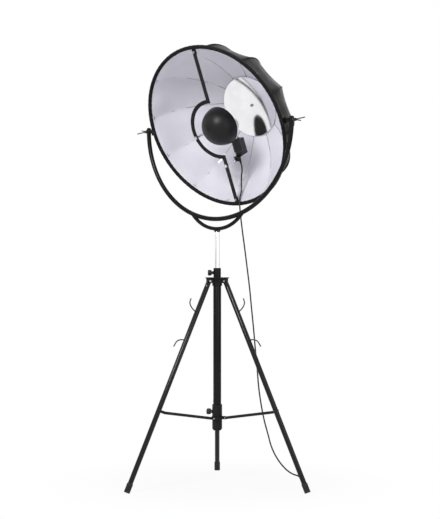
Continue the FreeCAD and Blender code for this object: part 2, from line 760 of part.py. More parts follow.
def wing_screw():
    """The right clamp screw: shank on the tilt axis, flange, boss and two wire wings."""
    tip = HOOP_OUTER - NUT_HEIGHT
    flange = YOKE_OUTER + 2 * SIDE_GAP
    boss = flange + WING_FLANGE
    end = boss + WING_BOSS
    pieces = [rod(WING_SHANK, Vector(tip, 0, 0), Vector(flange + 1, 0, 0))]
    pieces.append(rod(WING_FLANGE_OD, Vector(flange, 0, 0), Vector(boss, 0, 0)))
    pieces.append(rod(WING_BOSS_OD, Vector(boss - 1, 0, 0), Vector(end, 0, 0)))
    root = Vector((boss + end) / 2, 0, 0)
    spread = math.radians(WING_SPREAD)
    roll = math.radians(WING_ROLL)
    for side in (-1, 1):
        across = Vector(0, math.sin(roll), math.cos(roll)) * (side * math.sin(spread))
        wing = RIGHT * math.cos(spread) + across
        start = root + across * WING_BOSS_OD / 4
        pieces.append(rod(WING_WIRE, start, root + wing * WING_LENGTH))
    return joined(*pieces)


def mirrored(shape):
    """A shape mirrored across the plane of the lamp's middle."""
    return shape.mirror(ORIGIN, RIGHT)


# ---------------------------------------------------------------- head, in the head's frame


def rim_hoop():
    """The steel hoop of the shade's mouth."""
    return moved(turned(tube_section(HOOP_RADIUS, HOOP_OD, HOOP_SIDES), HOOP_STEPS), DEPTH_PLACE)


def hoop_room():
    """What a clip on the hoop must leave free: the hoop and the shade behind it."""
    behind = rod(2 * HOOP_OUTER, UP * (HOOP_OD / 2 - SIDE_GAP), UP * HOOP_OD)
    return [rim_hoop(), moved(behind, DEPTH_PLACE)]


def rim_bracket():
    """The right pivot bracket: a saddle on the hoop, a plate and a bushed eye on the tilt axis."""
    half = BRACKET_HALF_HEIGHT
    front = -HOOP_AHEAD - CLIP_OD / 2
    saddle = rod(CLIP_OD, Vector(HOOP_RADIUS, -HOOP_AHEAD, -half), Vector(HOOP_RADIUS, -HOOP_AHEAD, half))
    plate = block(HOOP_OUTER, PLATE_FACE, front, 0, -half, half)
    eye = rod(2 * half, RIGHT * HOOP_OUTER, RIGHT * PLATE_FACE)
    boss = rod(EYE_OD, RIGHT * PLATE_FACE, RIGHT * (YOKE_INNER - 2 * SIDE_GAP))
    solid = joined(saddle, plate, eye, boss)
    for room in hoop_room():
        solid = solid.cut(room)
    shank = hole(WING_SHANK + 2 * RUNNING_FIT, RIGHT * HOOP_INNER, RIGHT * YOKE_INNER)
    return largest(solid.cut(shank))


def rim_brackets():
    """Both pivot brackets."""
    return Part.makeCompound([rim_bracket(), mirrored(rim_bracket())])


def section_at(angle, inset):
    """The shade's section at one angle of its profile: (rib radius, depth) inset from its outside."""
    turn = math.radians(angle)
    depth = max((SHADE_DEPTH - inset) * math.sin(turn), COVER_START)
    return (HOOP_RADIUS - inset) * math.cos(turn), depth


def panel_ring(radius, depth, on_hoop):
    """The shade's outline at one depth: round on the hoop, and pulled in between the seams behind it."""
    points = []
    half = math.pi / PANELS
    for step in range(PANELS * PANEL_STEPS):
        share = step % PANEL_STEPS / PANEL_STEPS
        flat = math.cos(half) / math.cos((2 * share - 1) * half)
        pulled = flat - PANEL_PULL * (1 - (2 * share - 1) ** 2)
        reach = radius if on_hoop else radius * pulled
        turn = math.radians(FIRST_SEAM + 360 * step / (PANELS * PANEL_STEPS))
        points.append(Vector(reach * math.sin(turn), -reach * math.cos(turn), depth))
    return points


def shade_core(inset, runs_out=0.0):
    """The space inside the shade's surface at one inset, its mouth carried forward to cut with."""
    radius, depth = section_at(SECTION_ANGLES[0], inset)
    rings = [panel_ring(radius, depth, True)]
    if runs_out:
        rings.insert(0, panel_ring(radius, depth - runs_out, True))
    for angle in SECTION_ANGLES[1:]:
        rings.append(panel_ring(*section_at(angle, inset), False))
    return stacked(rings)


def fabric_shell(inset):
    """A fabric skin, its outer face at one inset, open at the hoop and pierced for the hub's bolt."""
    skin = shade_core(inset).cut(shade_core(inset + FABRIC, HOOP_OD))
    bolt = hole(HUB_BOLT, ORIGIN, UP * (SHADE_DEPTH + HUB_CAP_DEPTH))
    return moved(skin.cut(bolt), DEPTH_PLACE)


RIB_INSET = FABRIC + RIB_SKIN_GAP
LINING_INSET = RIB_INSET + RIB_THICK + LINING_GAP


def shade_cover():
    """The outer fabric."""
    return fabric_shell(0.0)


def shade_lining():
    """The inner fabric, which shows from the front."""
    return fabric_shell(LINING_INSET)


def rib(number):
    """One bent rib between the two fabrics, from the hoop to the hub's plate."""
    outline = []
    for angle in SECTION_ANGLES:
        outline.append(section_at(angle, RIB_INSET))
    outline.append((HUB_DISC_RADIUS - RIB_WIDTH, outline[-1][1]))
    inner = [section_at(angle, RIB_INSET + RIB_THICK) for angle in SECTION_ANGLES]
    inner.append((HUB_DISC_RADIUS - RIB_WIDTH, inner[-1][1]))
    corners = [Vector(radius, -RIB_WIDTH / 2, depth) for radius, depth in outline + inner[::-1]]
    bar = extruded(corners, Vector(0, RIB_WIDTH, 0))
    turn = FIRST_SEAM + 360 * number / PANELS - 90
    return moved(bar, DEPTH_PLACE, Placement(ORIGIN, Rotation(UP, turn)))


def ribs():
    """All ribs."""
    return Part.makeCompound([rib(number) for number in range(PANELS)])


def rib_hub():
    """The slotted plate that the ribs seat in."""
    front = UP * section_at(SECTION_ANGLES[-1], LINING_INSET)[1]
    back = UP * section_at(SECTION_ANGLES[-1], FABRIC)[1]
    disc = rod(2 * HUB_DISC_RADIUS, front, back).cut(hole(HUB_BOLT, front, back))
    return moved(disc, DEPTH_PLACE).cut(ribs())


def hub_cap():
    """The black cap on the back of the shade."""
    face = section_at(SECTION_ANGLES[-1], 0)[1]
    edge = HUB_CAP_RADIUS
    back = face + HUB_CAP_DEPTH
    profile = [(0, face), (edge - 2, face), (edge, face + 2), (edge * 0.7, back), (0, back)]
    cap = turned(profile, CAP_SIDES).cut(hole(HUB_BOLT, UP * face, UP * back))
    return moved(cap, DEPTH_PLACE)


def dish_profile(inset):
    """Points down the dish's wall from its rim to its middle."""
    radius = (DISH_RADIUS**2 + DISH_DEPTH**2) / (2 * DISH_DEPTH)
    reach = math.asin(DISH_RADIUS / radius)
    points = []
    for step in range(DISH_STEPS):
        turn = reach * (1 - step / DISH_STEPS)
        depth = DISH_RIM_DEPTH + radius * (math.cos(turn) - math.cos(reach))
        points.append((radius * math.sin(turn), depth - inset))
    points.append((HUB_BOLT / 2, DISH_RIM_DEPTH + DISH_DEPTH - inset))
    return points


def dish():
    """The mirror-bright dish in the bottom of the shade."""
    profile = dish_profile(DISH_WALL) + dish_profile(0)[::-1]
    return moved(turned(profile, DISH_SIDES), DEPTH_PLACE)


def hub_bolt():
    """The domed nut in the dish with its bolt and spacer, through both fabrics to the cap."""
    dish_back = DISH_RIM_DEPTH + DISH_DEPTH
    dish_front = dish_back - DISH_WALL
    lining = section_at(SECTION_ANGLES[-1], LINING_INSET + FABRIC)[1]
    end = section_at(SECTION_ANGLES[-1], 0)[1] + HUB_CAP_DEPTH
    shank = HUB_BOLT / 2
    profile = [(0, dish_front - 8), (5, dish_front - 6), (7, dish_front), (shank, dish_front)]
    profile += [(shank, dish_back), (HUB_BOLT, dish_back), (HUB_BOLT, lining), (shank, lining)]
    profile += [(shank, end), (0, end)]
    bolt = moved(turned(profile, sides_for(HUB_BOLT)), DEPTH_PLACE)
    return largest(bolt.cut(dish()))


def bar_screw_holes():
    """The two holes at the bar's ends."""
    reach = HOOP_INNER - BAR_SCREW_INSET
    depth = HOOP_AHEAD + BAR_THICK
    return [rod(BAR_SCREW, Vector(0, -HOOP_AHEAD - depth, side * reach), Vector(0, 0, side * reach))
            for side in (-1, 1)]


def bowl_rod_spot():
    """Where the bowl's rod passes the loop: across and up."""
    turn = math.radians(BOWL_ROD_ANGLE)
    return LOOP_RADIUS * math.cos(turn), LOOP_CENTRE + LOOP_RADIUS * math.sin(turn)


def rod_spots():
    """Both rods' places on the bar: across and up."""
    return [bowl_rod_spot(), (0.0, HOLDER_ROD_UP)]


def cross_bar():
    """The flat bar across the mouth with its half-round loop on the left."""
    half = BAR_WIDTH / 2
    front = -HOOP_AHEAD - BAR_THICK / 2
    back = front + BAR_THICK
    outer = LOOP_RADIUS + half
    inner = LOOP_RADIUS - half
    section = [(inner, -back), (outer, -back), (outer, -front), (inner, -front)]
    loop = turned(section, LOOP_STEPS, 90, 180)
    loop = moved(loop, Placement(Vector(0, 0, LOOP_CENTRE), Rotation()), UPRIGHT)
    upper = block(-half, half, front, back, LOOP_CENTRE + inner, HOOP_INNER)
    lower = block(-half, half, front, back, -HOOP_INNER, LOOP_CENTRE - inner)
    bar = joined(loop, upper, lower)
    for screw_hole in bar_screw_holes():
        bar = bar.cut(screw_hole)
    for across, up in rod_spots():
        bar = bar.cut(rod(ROD_OD, Vector(across, front, up), Vector(across, back, up)))
    return largest(bar.cut(rim_hoop()))


def bar_clip():
    """The upper clip that holds the bar on the hoop."""
    half = BAR_WIDTH / 2
    sleeve = rod(CLIP_OD, Vector(-half, -HOOP_AHEAD, HOOP_RADIUS), Vector(half, -HOOP_AHEAD, HOOP_RADIUS))
    behind = BAR_THICK / 2 - HOOP_AHEAD
    tab = block(-half, half, behind, behind + 3, HOOP_INNER - CLIP_TAB, HOOP_RADIUS)
    clip = joined(sleeve, tab)
    for room in hoop_room() + bar_screw_holes():
        clip = clip.cut(room)
    bar_end = block(-half, half, behind - BAR_THICK, behind, 0, HOOP_INNER)
    return largest(clip.cut(bar_end))


def bar_clips():
    """Both clips."""
    return Part.makeCompound([bar_clip(), bar_clip().mirror(ORIGIN, UP)])


def hexagon(flats, start, end, bore):
    """A nut between two points, with what its bore takes away."""
    corners = round_points(flats / math.cos(math.pi / 6), start, end - start, 6)
    return extruded(corners, end - start).cut(bore)


def head_fasteners():
    """The plated nuts and screws of the head: pivot nuts, rod nuts and the bar's end screws."""
    pieces = []
    for side in (-1, 1):
        inner = RIGHT * (side * (HOOP_OUTER - NUT_HEIGHT))
        outer = RIGHT * (side * HOOP_OUTER)
        pieces.append(hexagon(NUT_FLATS, inner, outer, hole(WING_SHANK + 2 * RUNNING_FIT, inner, outer)))
    front = -HOOP_AHEAD - BAR_THICK / 2
    strip_back = BRACKET_STRIP_AT + BRACKET_STRIP_THICK - HOOP_AHEAD
    for bar, (across, up) in zip(standoff_rods().Solids, rod_spots()):
        for low in (front - ROD_NUT, front + BAR_THICK, strip_back):
            pieces.append(hexagon(ROD_NUT_FLATS, Vector(across, low, up), Vector(across, low + ROD_NUT, up), bar))
    for side in (-1, 1):
        spot = Vector(0, front, side * (HOOP_INNER - BAR_SCREW_INSET))
        head = rod(BAR_SCREW_HEAD, spot - BACK * 3, spot)
        shank = rod(BAR_SCREW, spot, spot + BACK * (BAR_THICK + 3))
        pieces.append(joined(head, shank))
    return Part.makeCompound(pieces)


def standoff_rods():
    """The two bright rods that run back from the bar."""
    bars = []
    for across, up in rod_spots():
        start = Vector(across, -HOOP_AHEAD - ROD_FRONT, up)
        bars.append(rod(ROD_OD, start, Vector(across, ROD_BACK - HOOP_AHEAD, up)))
    return Part.makeCompound(bars)


def bowl_profile(radius, steps):
    """Points of the bowl's dome from its rim to its crown, as (radius, height toward the front)."""
    points = []
    for step in range(steps):
        turn = math.pi / 2 * step / steps
        points.append((radius * math.cos(turn), radius * math.sin(turn)))
    return points + [(0.0, radius)]


def bowl_place():
    """The bowl's frame: its rim's centre, with +Z toward the front."""
    return Placement(Vector(0, BOWL_CENTRE_DEPTH - HOOP_AHEAD, BOWL_CENTRE_UP), Rotation(RIGHT, 90))


def bowl():
    """The black counter-reflector, open to the back, with a turned lip."""
    inner = BOWL_RADIUS - BOWL_WALL
    lip = BOWL_RADIUS + BOWL_LIP
    profile = [(inner, -BOWL_LIP), (lip, -BOWL_LIP), (lip, BOWL_LIP)]
    profile += bowl_profile(BOWL_RADIUS, BOWL_STEPS)[1:]
    profile += bowl_profile(inner, BOWL_STEPS)[:0:-1]
    dome = moved(turned(profile, BOWL_SIDES), bowl_place())
    return dome.cut(bowl_rivet(BOWL_RIVET / 2))


def bowl_heading():
    """The direction from the bowl's axis to its rod, and the distance."""
    across, up = bowl_rod_spot()
    toward = Vector(across, 0, up - BOWL_CENTRE_UP)
    reach = toward.Length
    return toward.normalize(), reach


def bowl_rivet(head):
    """The rivet through the bowl's rim and its bracket."""
    toward, _ = bowl_heading()
    middle = Vector(0, BOWL_CENTRE_DEPTH - HOOP_AHEAD, BOWL_CENTRE_UP)
    start = middle + toward * (BOWL_RADIUS - BOWL_WALL - head)
    return rod(BOWL_RIVET, start, middle + toward * (BOWL_RADIUS + BOWL_LIP + BRACKET_STRIP_THICK + head))


def bowl_bracket():
    """The angled strip from the rod's end to the bowl's rim."""
    toward, reach = bowl_heading()
    half = BRACKET_STRIP / 2
    inner = BOWL_RADIUS + BOWL_LIP
    outer = reach + half
    front = BOWL_CENTRE_DEPTH - half - HOOP_AHEAD
    back = BRACKET_STRIP_AT + BRACKET_STRIP_THICK - HOOP_AHEAD
    leg = block(inner, inner + BRACKET_STRIP_THICK, front, back, -half, half)
    foot = block(inner, outer, back - BRACKET_STRIP_THICK, back, -half, half)
    turn = math.degrees(math.atan2(toward.x, toward.z))
    bracket = moved(joined(leg, foot), Placement(Vector(0, 0, BOWL_CENTRE_UP), Rotation(BACK, turn - 90)))
    return joined(largest(bracket.cut(standoff_rods()).cut(bowl())), bowl_rivet(1.0))


def holder_bracket():
    """The bent bracket on the lower rod's end, with the plate that the lampholder stands on."""
    half = HOLDER_PLATE_HALF
    tab_back = BRACKET_STRIP_AT + BRACKET_STRIP_THICK - HOOP_AHEAD
    tab_front = tab_back - BRACKET_STRIP_THICK
    top = HOLDER_BASE
    tab = block(-half + 3, half - 3, tab_front, tab_back, HOLDER_ROD_UP - 10, top)
    plate = block(-half, half, tab_front, HOLDER_PLATE_BACK - HOOP_AHEAD, top - HOLDER_PLATE, top)
    solid = joined(tab, plate)
    relief = RELIEF_DEPTH - HOOP_AHEAD
    solid = solid.cut(hole(RELIEF_OD, Vector(0, relief, top - HOLDER_PLATE), Vector(0, relief, top)))
    return solid.cut(standoff_rods())


def lamp_holder():
    """The lampholder: base, body, flange and the bore that the lamp screws into."""
    body = HOLDER_OD / 2
    bore = HOLDER_BORE / 2
    floor = HOLDER_BASE + 30
    profile = [(0, HOLDER_BASE), (body - 4, HOLDER_BASE), (body - 3, HOLDER_BASE + 16), (body, HOLDER_BASE + 18)]
    profile += [(body, HOLDER_TOP - 8), (body - 2, HOLDER_TOP), (bore, HOLDER_TOP), (bore, floor), (0, floor)]
    return moved(turned(profile, HOLDER_SIDES), HOLDER_AXIS)


def terminal_box():
    """The terminal housing on the back of the lampholder."""
    half = TERMINAL_WIDTH / 2
    front = HOLDER_DEPTH - HOOP_AHEAD
    back = HOLDER_PLATE_BACK - HOOP_AHEAD
    box = block(-half, half, front, back, HOLDER_BASE, TERMINAL_TOP)
    body = rod(HOLDER_OD, Vector(0, front, HOLDER_BASE), Vector(0, front, HOLDER_TOP))
    return largest(box.cut(body).cut(lamp_holder()))


def lamp_cap():
    """The lamp's metal screw cap."""
    top = HOLDER_TOP + 8
    radius = LAMP_CAP_OD / 2
    low = top - LAMP_CAP
    profile = [(0, low), (radius - 7, low), (radius, low + 9), (radius, top), (0, top)]
    return moved(turned(profile, HOLDER_SIDES), HOLDER_AXIS)


def lamp_glass():
    """The lamp's glass."""
    base = HOLDER_TOP + 8
    radius = LAMP_OD / 2
    centre = base + LAMP_LENGTH - radius
    profile = [(0, base), (LAMP_NECK_OD / 2, base)]
    for height in (-50, -22, 8, 36, 64):
        turn = math.radians(height)
        profile.append((radius * math.cos(turn), centre + radius * math.sin(turn)))
    profile.append((0, centre + radius))
    return moved(turned(profile, HOLDER_SIDES), HOLDER_AXIS)


def strain_relief():
    """The tapered sleeve where the cord leaves the lampholder's plate."""
    tip = HOLDER_BASE - RELIEF_LENGTH
    shoulder = HOLDER_BASE - HOLDER_PLATE
    neck = RELIEF_OD / 2
    profile = [(0, tip), (RELIEF_TIP_OD / 2, tip), (neck + 1.5, shoulder - 3), (neck + 1.5, shoulder)]
    profile += [(neck, shoulder), (neck, HOLDER_BASE), (0, HOLDER_BASE)]
    sleeve = turned(profile, sides_for(RELIEF_OD))
    return moved(sleeve, Placement(Vector(0, RELIEF_DEPTH - HOOP_AHEAD, 0), Rotation()))


# ---------------------------------------------------------------- cord


def cord_route():
    """The cord's points from the strain relief to the grommet, from the column's foot."""
    tip = Vector(0, RELIEF_DEPTH - HOOP_AHEAD, HOLDER_BASE - RELIEF_LENGTH)
    heading = math.radians(GROMMET_HEADING)
    toward = Vector(math.cos(heading), math.sin(heading), 0)
    entry = leg_place(LEG_AZIMUTHS["right"]).multVec(Vector(0, 0, -GROMMET_ON_LEG)) + toward * GROMMET_REACH
    bends = [Vector(*place) for place in CORD_BENDS]
    return [HEAD_PLACE.multVec(tip)] + bends + [entry + toward * CORD_LAST_RUN, entry]


def cord_stretch(route, first, last):
    """One stretch of the cord's tube, between the middles of two runs or the cord's own ends."""
    start = route[0] if first == 0 else (route[first] + route[first + 1]) * 0.5
    end = route[-1] if last is None else (route[last] + route[last + 1]) * 0.5
    stop = len(route) - 2 if last is None else last
    edges = []
    length = 0.0
    here = start
    radii = []
    for number in range(first + 1, stop + 1):
        arc_start, middle, arc_end, radius = bend(*route[number - 1:number + 2])
        edges.append(Part.LineSegment(here, arc_start).toShape())
        edges.append(Part.Arc(arc_start, middle, arc_end).toShape())
        radii.append(radius)
        here = arc_end
    edges.append(Part.LineSegment(here, end).toShape())
    length = sum(edge.Length for edge in edges)
    heading = (edges[0].Vertexes[-1].Point - start).normalize()
    corner = CORD_OD / 2 / math.cos(math.pi / CORD_SIDES)
    across = heading.cross(UP).normalize() if abs(heading.z) < 0.99 else heading.cross(RIGHT).normalize()
    over = heading.cross(across)
    points = []
    for side in range(CORD_SIDES):
        turn = 2 * math.pi * side / CORD_SIDES
        points.append(start + across * (corner * math.cos(turn)) + over * (corner * math.sin(turn)))
    solid = swept(edges, Part.makePolygon(points + points[:1]))
    section = Part.Face(Part.makePolygon(points + points[:1])).Area
    return solid, length, radii, section


def cord_stretches():
    """All stretches of the cord, with a printed check of their radii, lengths and volumes."""
    route = cord_route()
    first = 0
    shapes = {}
    for name, last in CORD_STRETCHES.items():
        solid, length, radii, section = cord_stretch(route, first, last)
        first = last
        shapes[name] = solid
        share = solid.Volume / (section * length)
        print(name, "length", round(length, 1), "volume share", round(share, 4),
              "radii", [round(radius) for radius in radii])
    return shapes


# ---------------------------------------------------------------- the lamp


def stand_parts():
    """Everything on the stand, from the column's foot."""
    collar_knob = knob_place(COLLAR_KNOB_AZIMUTH, COLLAR_BOTTOM + COLLAR_KNOB_RISE)
    mast_knob = knob_place(MAST_KNOB_AZIMUTH, PLATE_TOP + MAST_KNOB_RISE)
    collar_stem = COLLAR_OD / 2 + BOSS_PROUD + SIDE_GAP
    mast_stem = CLAMP_OD / 2 + BOSS_PROUD + SIDE_GAP
    shapes = {
        "column": column(),
        "column_plug": column_plug(),
        "hub": hub(),
        "hub_pins": hub_pins(),
        "collar": collar(),
        "collar_pins": collar_pins(),
        "collar_knob": moved(knob_at_x(collar_stem), collar_knob),
        "collar_screw": moved(screw_at_x(COLUMN_OD / 2 + SIDE_GAP, collar_stem), collar_knob),
        "mast_knob": moved(knob_at_x(mast_stem), mast_knob),
        "mast_screw": moved(screw_at_x(MAST_OD / 2 + SIDE_GAP, mast_stem), mast_knob),
        "mast": mast(),
        "mast_glide": mast_glide(),
    }
    for name, azimuth in LEG_AZIMUTHS.items():
        place = leg_place(azimuth)
        shapes[f"leg_{name}_tube"] = moved(leg_tube(name == "right"), place)
        shapes[f"leg_{name}_tongue"] = moved(leg_tongue(), place)
        shapes[f"leg_{name}_foot"] = on_floor(moved(leg_foot(), place))
        shapes[f"leg_{name}_hooks"] = moved(leg_hooks(), place)
        shapes[f"arm_{name}"] = moved(arm(), around(azimuth))
    bush = cord_grommet().cut(leg_tube(True))
    shapes["cord_grommet"] = moved(bush, leg_place(LEG_AZIMUTHS["right"]))
    return shapes


def yoke_parts():
    """The yoke's parts, placed."""
    shapes = {
        "yoke_tube": yoke_tube(),
        "yoke_brace": yoke_brace(),
        "yoke_spigot": yoke_spigot(),
        "wing_screw_right": wing_screw(),
        "wing_screw_left": mirrored(wing_screw()),
    }
    return {name: moved(shape, YOKE_PLACE) for name, shape in shapes.items()}


def head_parts():
    """The head's parts, placed."""
    makers = [rim_hoop, rim_brackets, shade_cover, shade_lining, ribs, rib_hub, hub_cap, dish, hub_bolt]
    makers += [cross_bar, bar_clips, head_fasteners, standoff_rods, bowl, bowl_bracket, holder_bracket]
    makers += [lamp_holder, terminal_box, lamp_cap, lamp_glass, strain_relief]
    return {maker.__name__: moved(maker(), HEAD_PLACE) for maker in makers}


def main():
    os.makedirs("parts", exist_ok=True)
    shapes = {**stand_parts(), **yoke_parts(), **head_parts(), **cord_stretches()}
    whole = FreeCAD.BoundBox()
    for name, shape in shapes.items():
        placed = moved(shape, Placement(Vector(0, STAND_Y, 0), Rotation()))
        if not placed.isValid() or not placed.Solids:
            print("not a valid solid:", name)
        placed.exportStep(f"parts/{name}.step")
        whole.add(placed.BoundBox)
    print(len(shapes), "sub-parts", whole)


main()
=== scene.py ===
"""Looks of the tripod spotlight floor lamp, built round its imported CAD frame. Metres, +Z up."""

import json
import math

import bmesh
import bpy
from mathutils import Matrix, Vector


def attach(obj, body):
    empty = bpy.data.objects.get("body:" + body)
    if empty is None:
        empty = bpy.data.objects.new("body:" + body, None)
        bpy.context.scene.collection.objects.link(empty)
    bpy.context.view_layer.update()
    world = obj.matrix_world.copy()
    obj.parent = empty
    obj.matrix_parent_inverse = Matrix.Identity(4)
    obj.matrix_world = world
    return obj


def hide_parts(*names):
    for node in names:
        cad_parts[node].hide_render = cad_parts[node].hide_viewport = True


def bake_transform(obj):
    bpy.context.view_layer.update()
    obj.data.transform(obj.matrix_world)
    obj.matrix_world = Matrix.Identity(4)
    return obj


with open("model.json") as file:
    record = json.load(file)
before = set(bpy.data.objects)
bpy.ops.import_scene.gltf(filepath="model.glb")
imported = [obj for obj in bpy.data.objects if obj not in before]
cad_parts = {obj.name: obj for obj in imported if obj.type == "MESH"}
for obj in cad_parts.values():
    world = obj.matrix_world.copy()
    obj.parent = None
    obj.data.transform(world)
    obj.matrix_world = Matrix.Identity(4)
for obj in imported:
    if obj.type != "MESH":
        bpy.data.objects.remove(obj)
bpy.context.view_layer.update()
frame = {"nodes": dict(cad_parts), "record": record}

# The stand's axis, and the frames of the fork, the shade and the legs
STAND_Y = -0.064
PIVOT = 1.429
YAW = -40.0
TILT = 24.65
HOOP_AHEAD = 0.012
LEG_AZIMUTHS = {"left": -150.0, "right": -30.0, "rear": 90.0}
LEG_ANGLE = 24.2
HINGE_RADIUS = 0.037
HINGE_HEIGHT = 0.812
HOOK_WIRE = 0.0025
HOOK_END = 0.0021
FOOT_OD = 0.024
FOOT_FLAT = 0.0025

# Shade
HOOP_RADIUS = 0.330
SHADE_DEPTH = 0.270
PANELS = 12
FIRST_SEAM = 10.0
PANEL_PULL = 0.024
PULL_DEPTH = 0.030
LINING_INSET = 0.0046
FABRIC = 0.001
BINDING_RADIUS = 0.0078
BINDING_RUFFLE = 0.0003
PIPING_RING = 0.3236
PIPING_DEPTH = 0.0125
PIPING_RADIUS = 0.0011

# Dish, bowl and cross bar
DISH_RADIUS = 0.127
DISH_SPHERE = 0.4339
DISH_RIM_DEPTH = 0.2375
DISH_WALL = 0.001
DISH_HOLE = 0.004
DISH_BEAD = 0.0012
BOWL_RADIUS = 0.078
BOWL_INNER = 0.0768
BOWL_LIP = 0.0795
BAR_END = 0.324
BAR_HALF = 0.008
BAR_HALF_THICK = 0.002
LOOP_CENTRE = -0.0106
LOOP_RADIUS = 0.117
ROD_RADIUS = 0.004
ROD_FRONT = 0.008
ROD_BACK = 0.080
ROD_SPOTS = [(-0.11362, -0.03851), (0.0, -0.165)]

# Fork
YOKE_RADIUS = 0.370
YOKE_RISE = 0.012
BRACE_RADIUS = 0.1663
BRACE_CENTRE = -0.2427
BRACE_HALF_ANGLE = 51.4
FORK_TUBE = 0.009
BRACE_TUBE = 0.0075
EYE_RADIUS = 0.008
EYE_HALF = 0.0093
# The weld bead round each end of the brace: its setback, its half axes and its thickness
WELD_SETBACK = 0.00492
WELD_REACH = 0.0153
WELD_HALF = 0.0078
WELD_RADIUS = 0.0012

# Cord: its bends from the lampholder to the right leg, from the column's foot
CORD_OD = 0.006
CORD_BENDS = [
    (0.1025, 0.1220, 1.2689), (0.0984, 0.1264, 1.2384), (0.0984, 0.1249, 1.2026),
    (0.0984, 0.1171, 1.1724), (0.0940, 0.0979, 1.1578), (0.0914, 0.0855, 1.1438),
    (0.0904, 0.0757, 1.1280), (0.0915, 0.0766, 1.1040), (0.0960, 0.0790, 1.0590),
    (0.1030, 0.0810, 1.0020), (0.1120, 0.0800, 0.9360), (0.1210, 0.0760, 0.8620),
    (0.1310, 0.0710, 0.7820), (0.1380, 0.0630, 0.7020), (0.1460, 0.0580, 0.6240),
    (0.1520, 0.0490, 0.5470), (0.1600, 0.0440, 0.4700), (0.1650, 0.0350, 0.3900),
    (0.1760, 0.0240, 0.3130), (0.1880, 0.0080, 0.2520), (0.2020, -0.0140, 0.2030),
    (0.2130, -0.0420, 0.1580), (0.2340, -0.0780, 0.1170), (0.2590, -0.1160, 0.0880),
    (0.2800, -0.1380, 0.0720),
]
# Each stretch: the number of its last bend, its real length and the bodies at its lower and upper end
CORD_STRETCHES = [
    ("cord_head", 7, 0.191, ("head",)),
    ("cord_tilt", 11, 0.219, ("yoke", "head")),
    ("cord_turn", 14, 0.238, ("mast", "yoke")),
    ("cord_lift", 19, 0.386, ("stand", "mast")),
    ("cord_leg", None, 0.339, ("leg_right", "stand")),
]
GROMMET_ON_LEG = 0.820
GROMMET_REACH = 0.0145
GROMMET_HEADING = 128.5
CORD_LAST_RUN = 0.022
RELIEF_TIP = (0.0, 0.078, -0.191)

# Camera, fitted to the photograph's 440 x 519 frame
CAMERA_PLACE = (0.0, -5.5356, 0.8774)
FOCAL_PX = 1375.4
PRINCIPAL_PX = (217.2, 264.6)
FRAME_PX = (440.0, 519.0)
SENSOR = 36.0


def turn(angle, axis):
    """A rotation by degrees about a named axis."""
    return Matrix.Rotation(math.radians(angle), 4, axis)


def shift(x, y, z):
    """A translation."""
    return Matrix.Translation((x, y, z))


STAND = shift(0, STAND_Y, 0)
YOKE = STAND @ shift(0, 0, PIVOT) @ turn(YAW, "Z")
HEAD = YOKE @ turn(TILT, "X")
# +Z of a turned piece of the head is the shade's depth, from the hoop's plane
DEPTH = HEAD @ shift(0, -HOOP_AHEAD, 0) @ turn(-90, "X")
HOLDER = HEAD @ shift(0, 0.085, 0)
BOWL = HEAD @ shift(0, 0.023, -0.008) @ turn(90, "X")
LEGS = {
    name: STAND @ turn(azimuth, "Z") @ shift(HINGE_RADIUS, 0, HINGE_HEIGHT) @ turn(-LEG_ANGLE, "Y")
    for name, azimuth in LEG_AZIMUTHS.items()
}
LEG_LENGTH = HINGE_HEIGHT + FOOT_FLAT - FOOT_OD / 2 * math.sin(math.radians(LEG_ANGLE))
LEG_LENGTH /= math.cos(math.radians(LEG_ANGLE))


# ---------------------------------------------------------------- camera


def make_camera():
    """The camera at the photograph's viewing angle."""
    data = bpy.data.cameras.new("camera")
    data.sensor_fit = "VERTICAL"
    data.sensor_height = SENSOR
    data.lens = FOCAL_PX / FRAME_PX[1] * SENSOR
    data.shift_x = (FRAME_PX[0] / 2 - PRINCIPAL_PX[0]) / FRAME_PX[1]
    data.shift_y = (PRINCIPAL_PX[1] - FRAME_PX[1] / 2) / FRAME_PX[1]
    data.clip_end = 100
    camera = bpy.data.objects.new("camera", data)
    camera.location = CAMERA_PLACE
    camera.rotation_euler = (math.radians(90), 0, 0)
    bpy.context.scene.collection.objects.link(camera)
    bpy.context.scene.camera = camera


make_camera()


# ---------------------------------------------------------------- materials


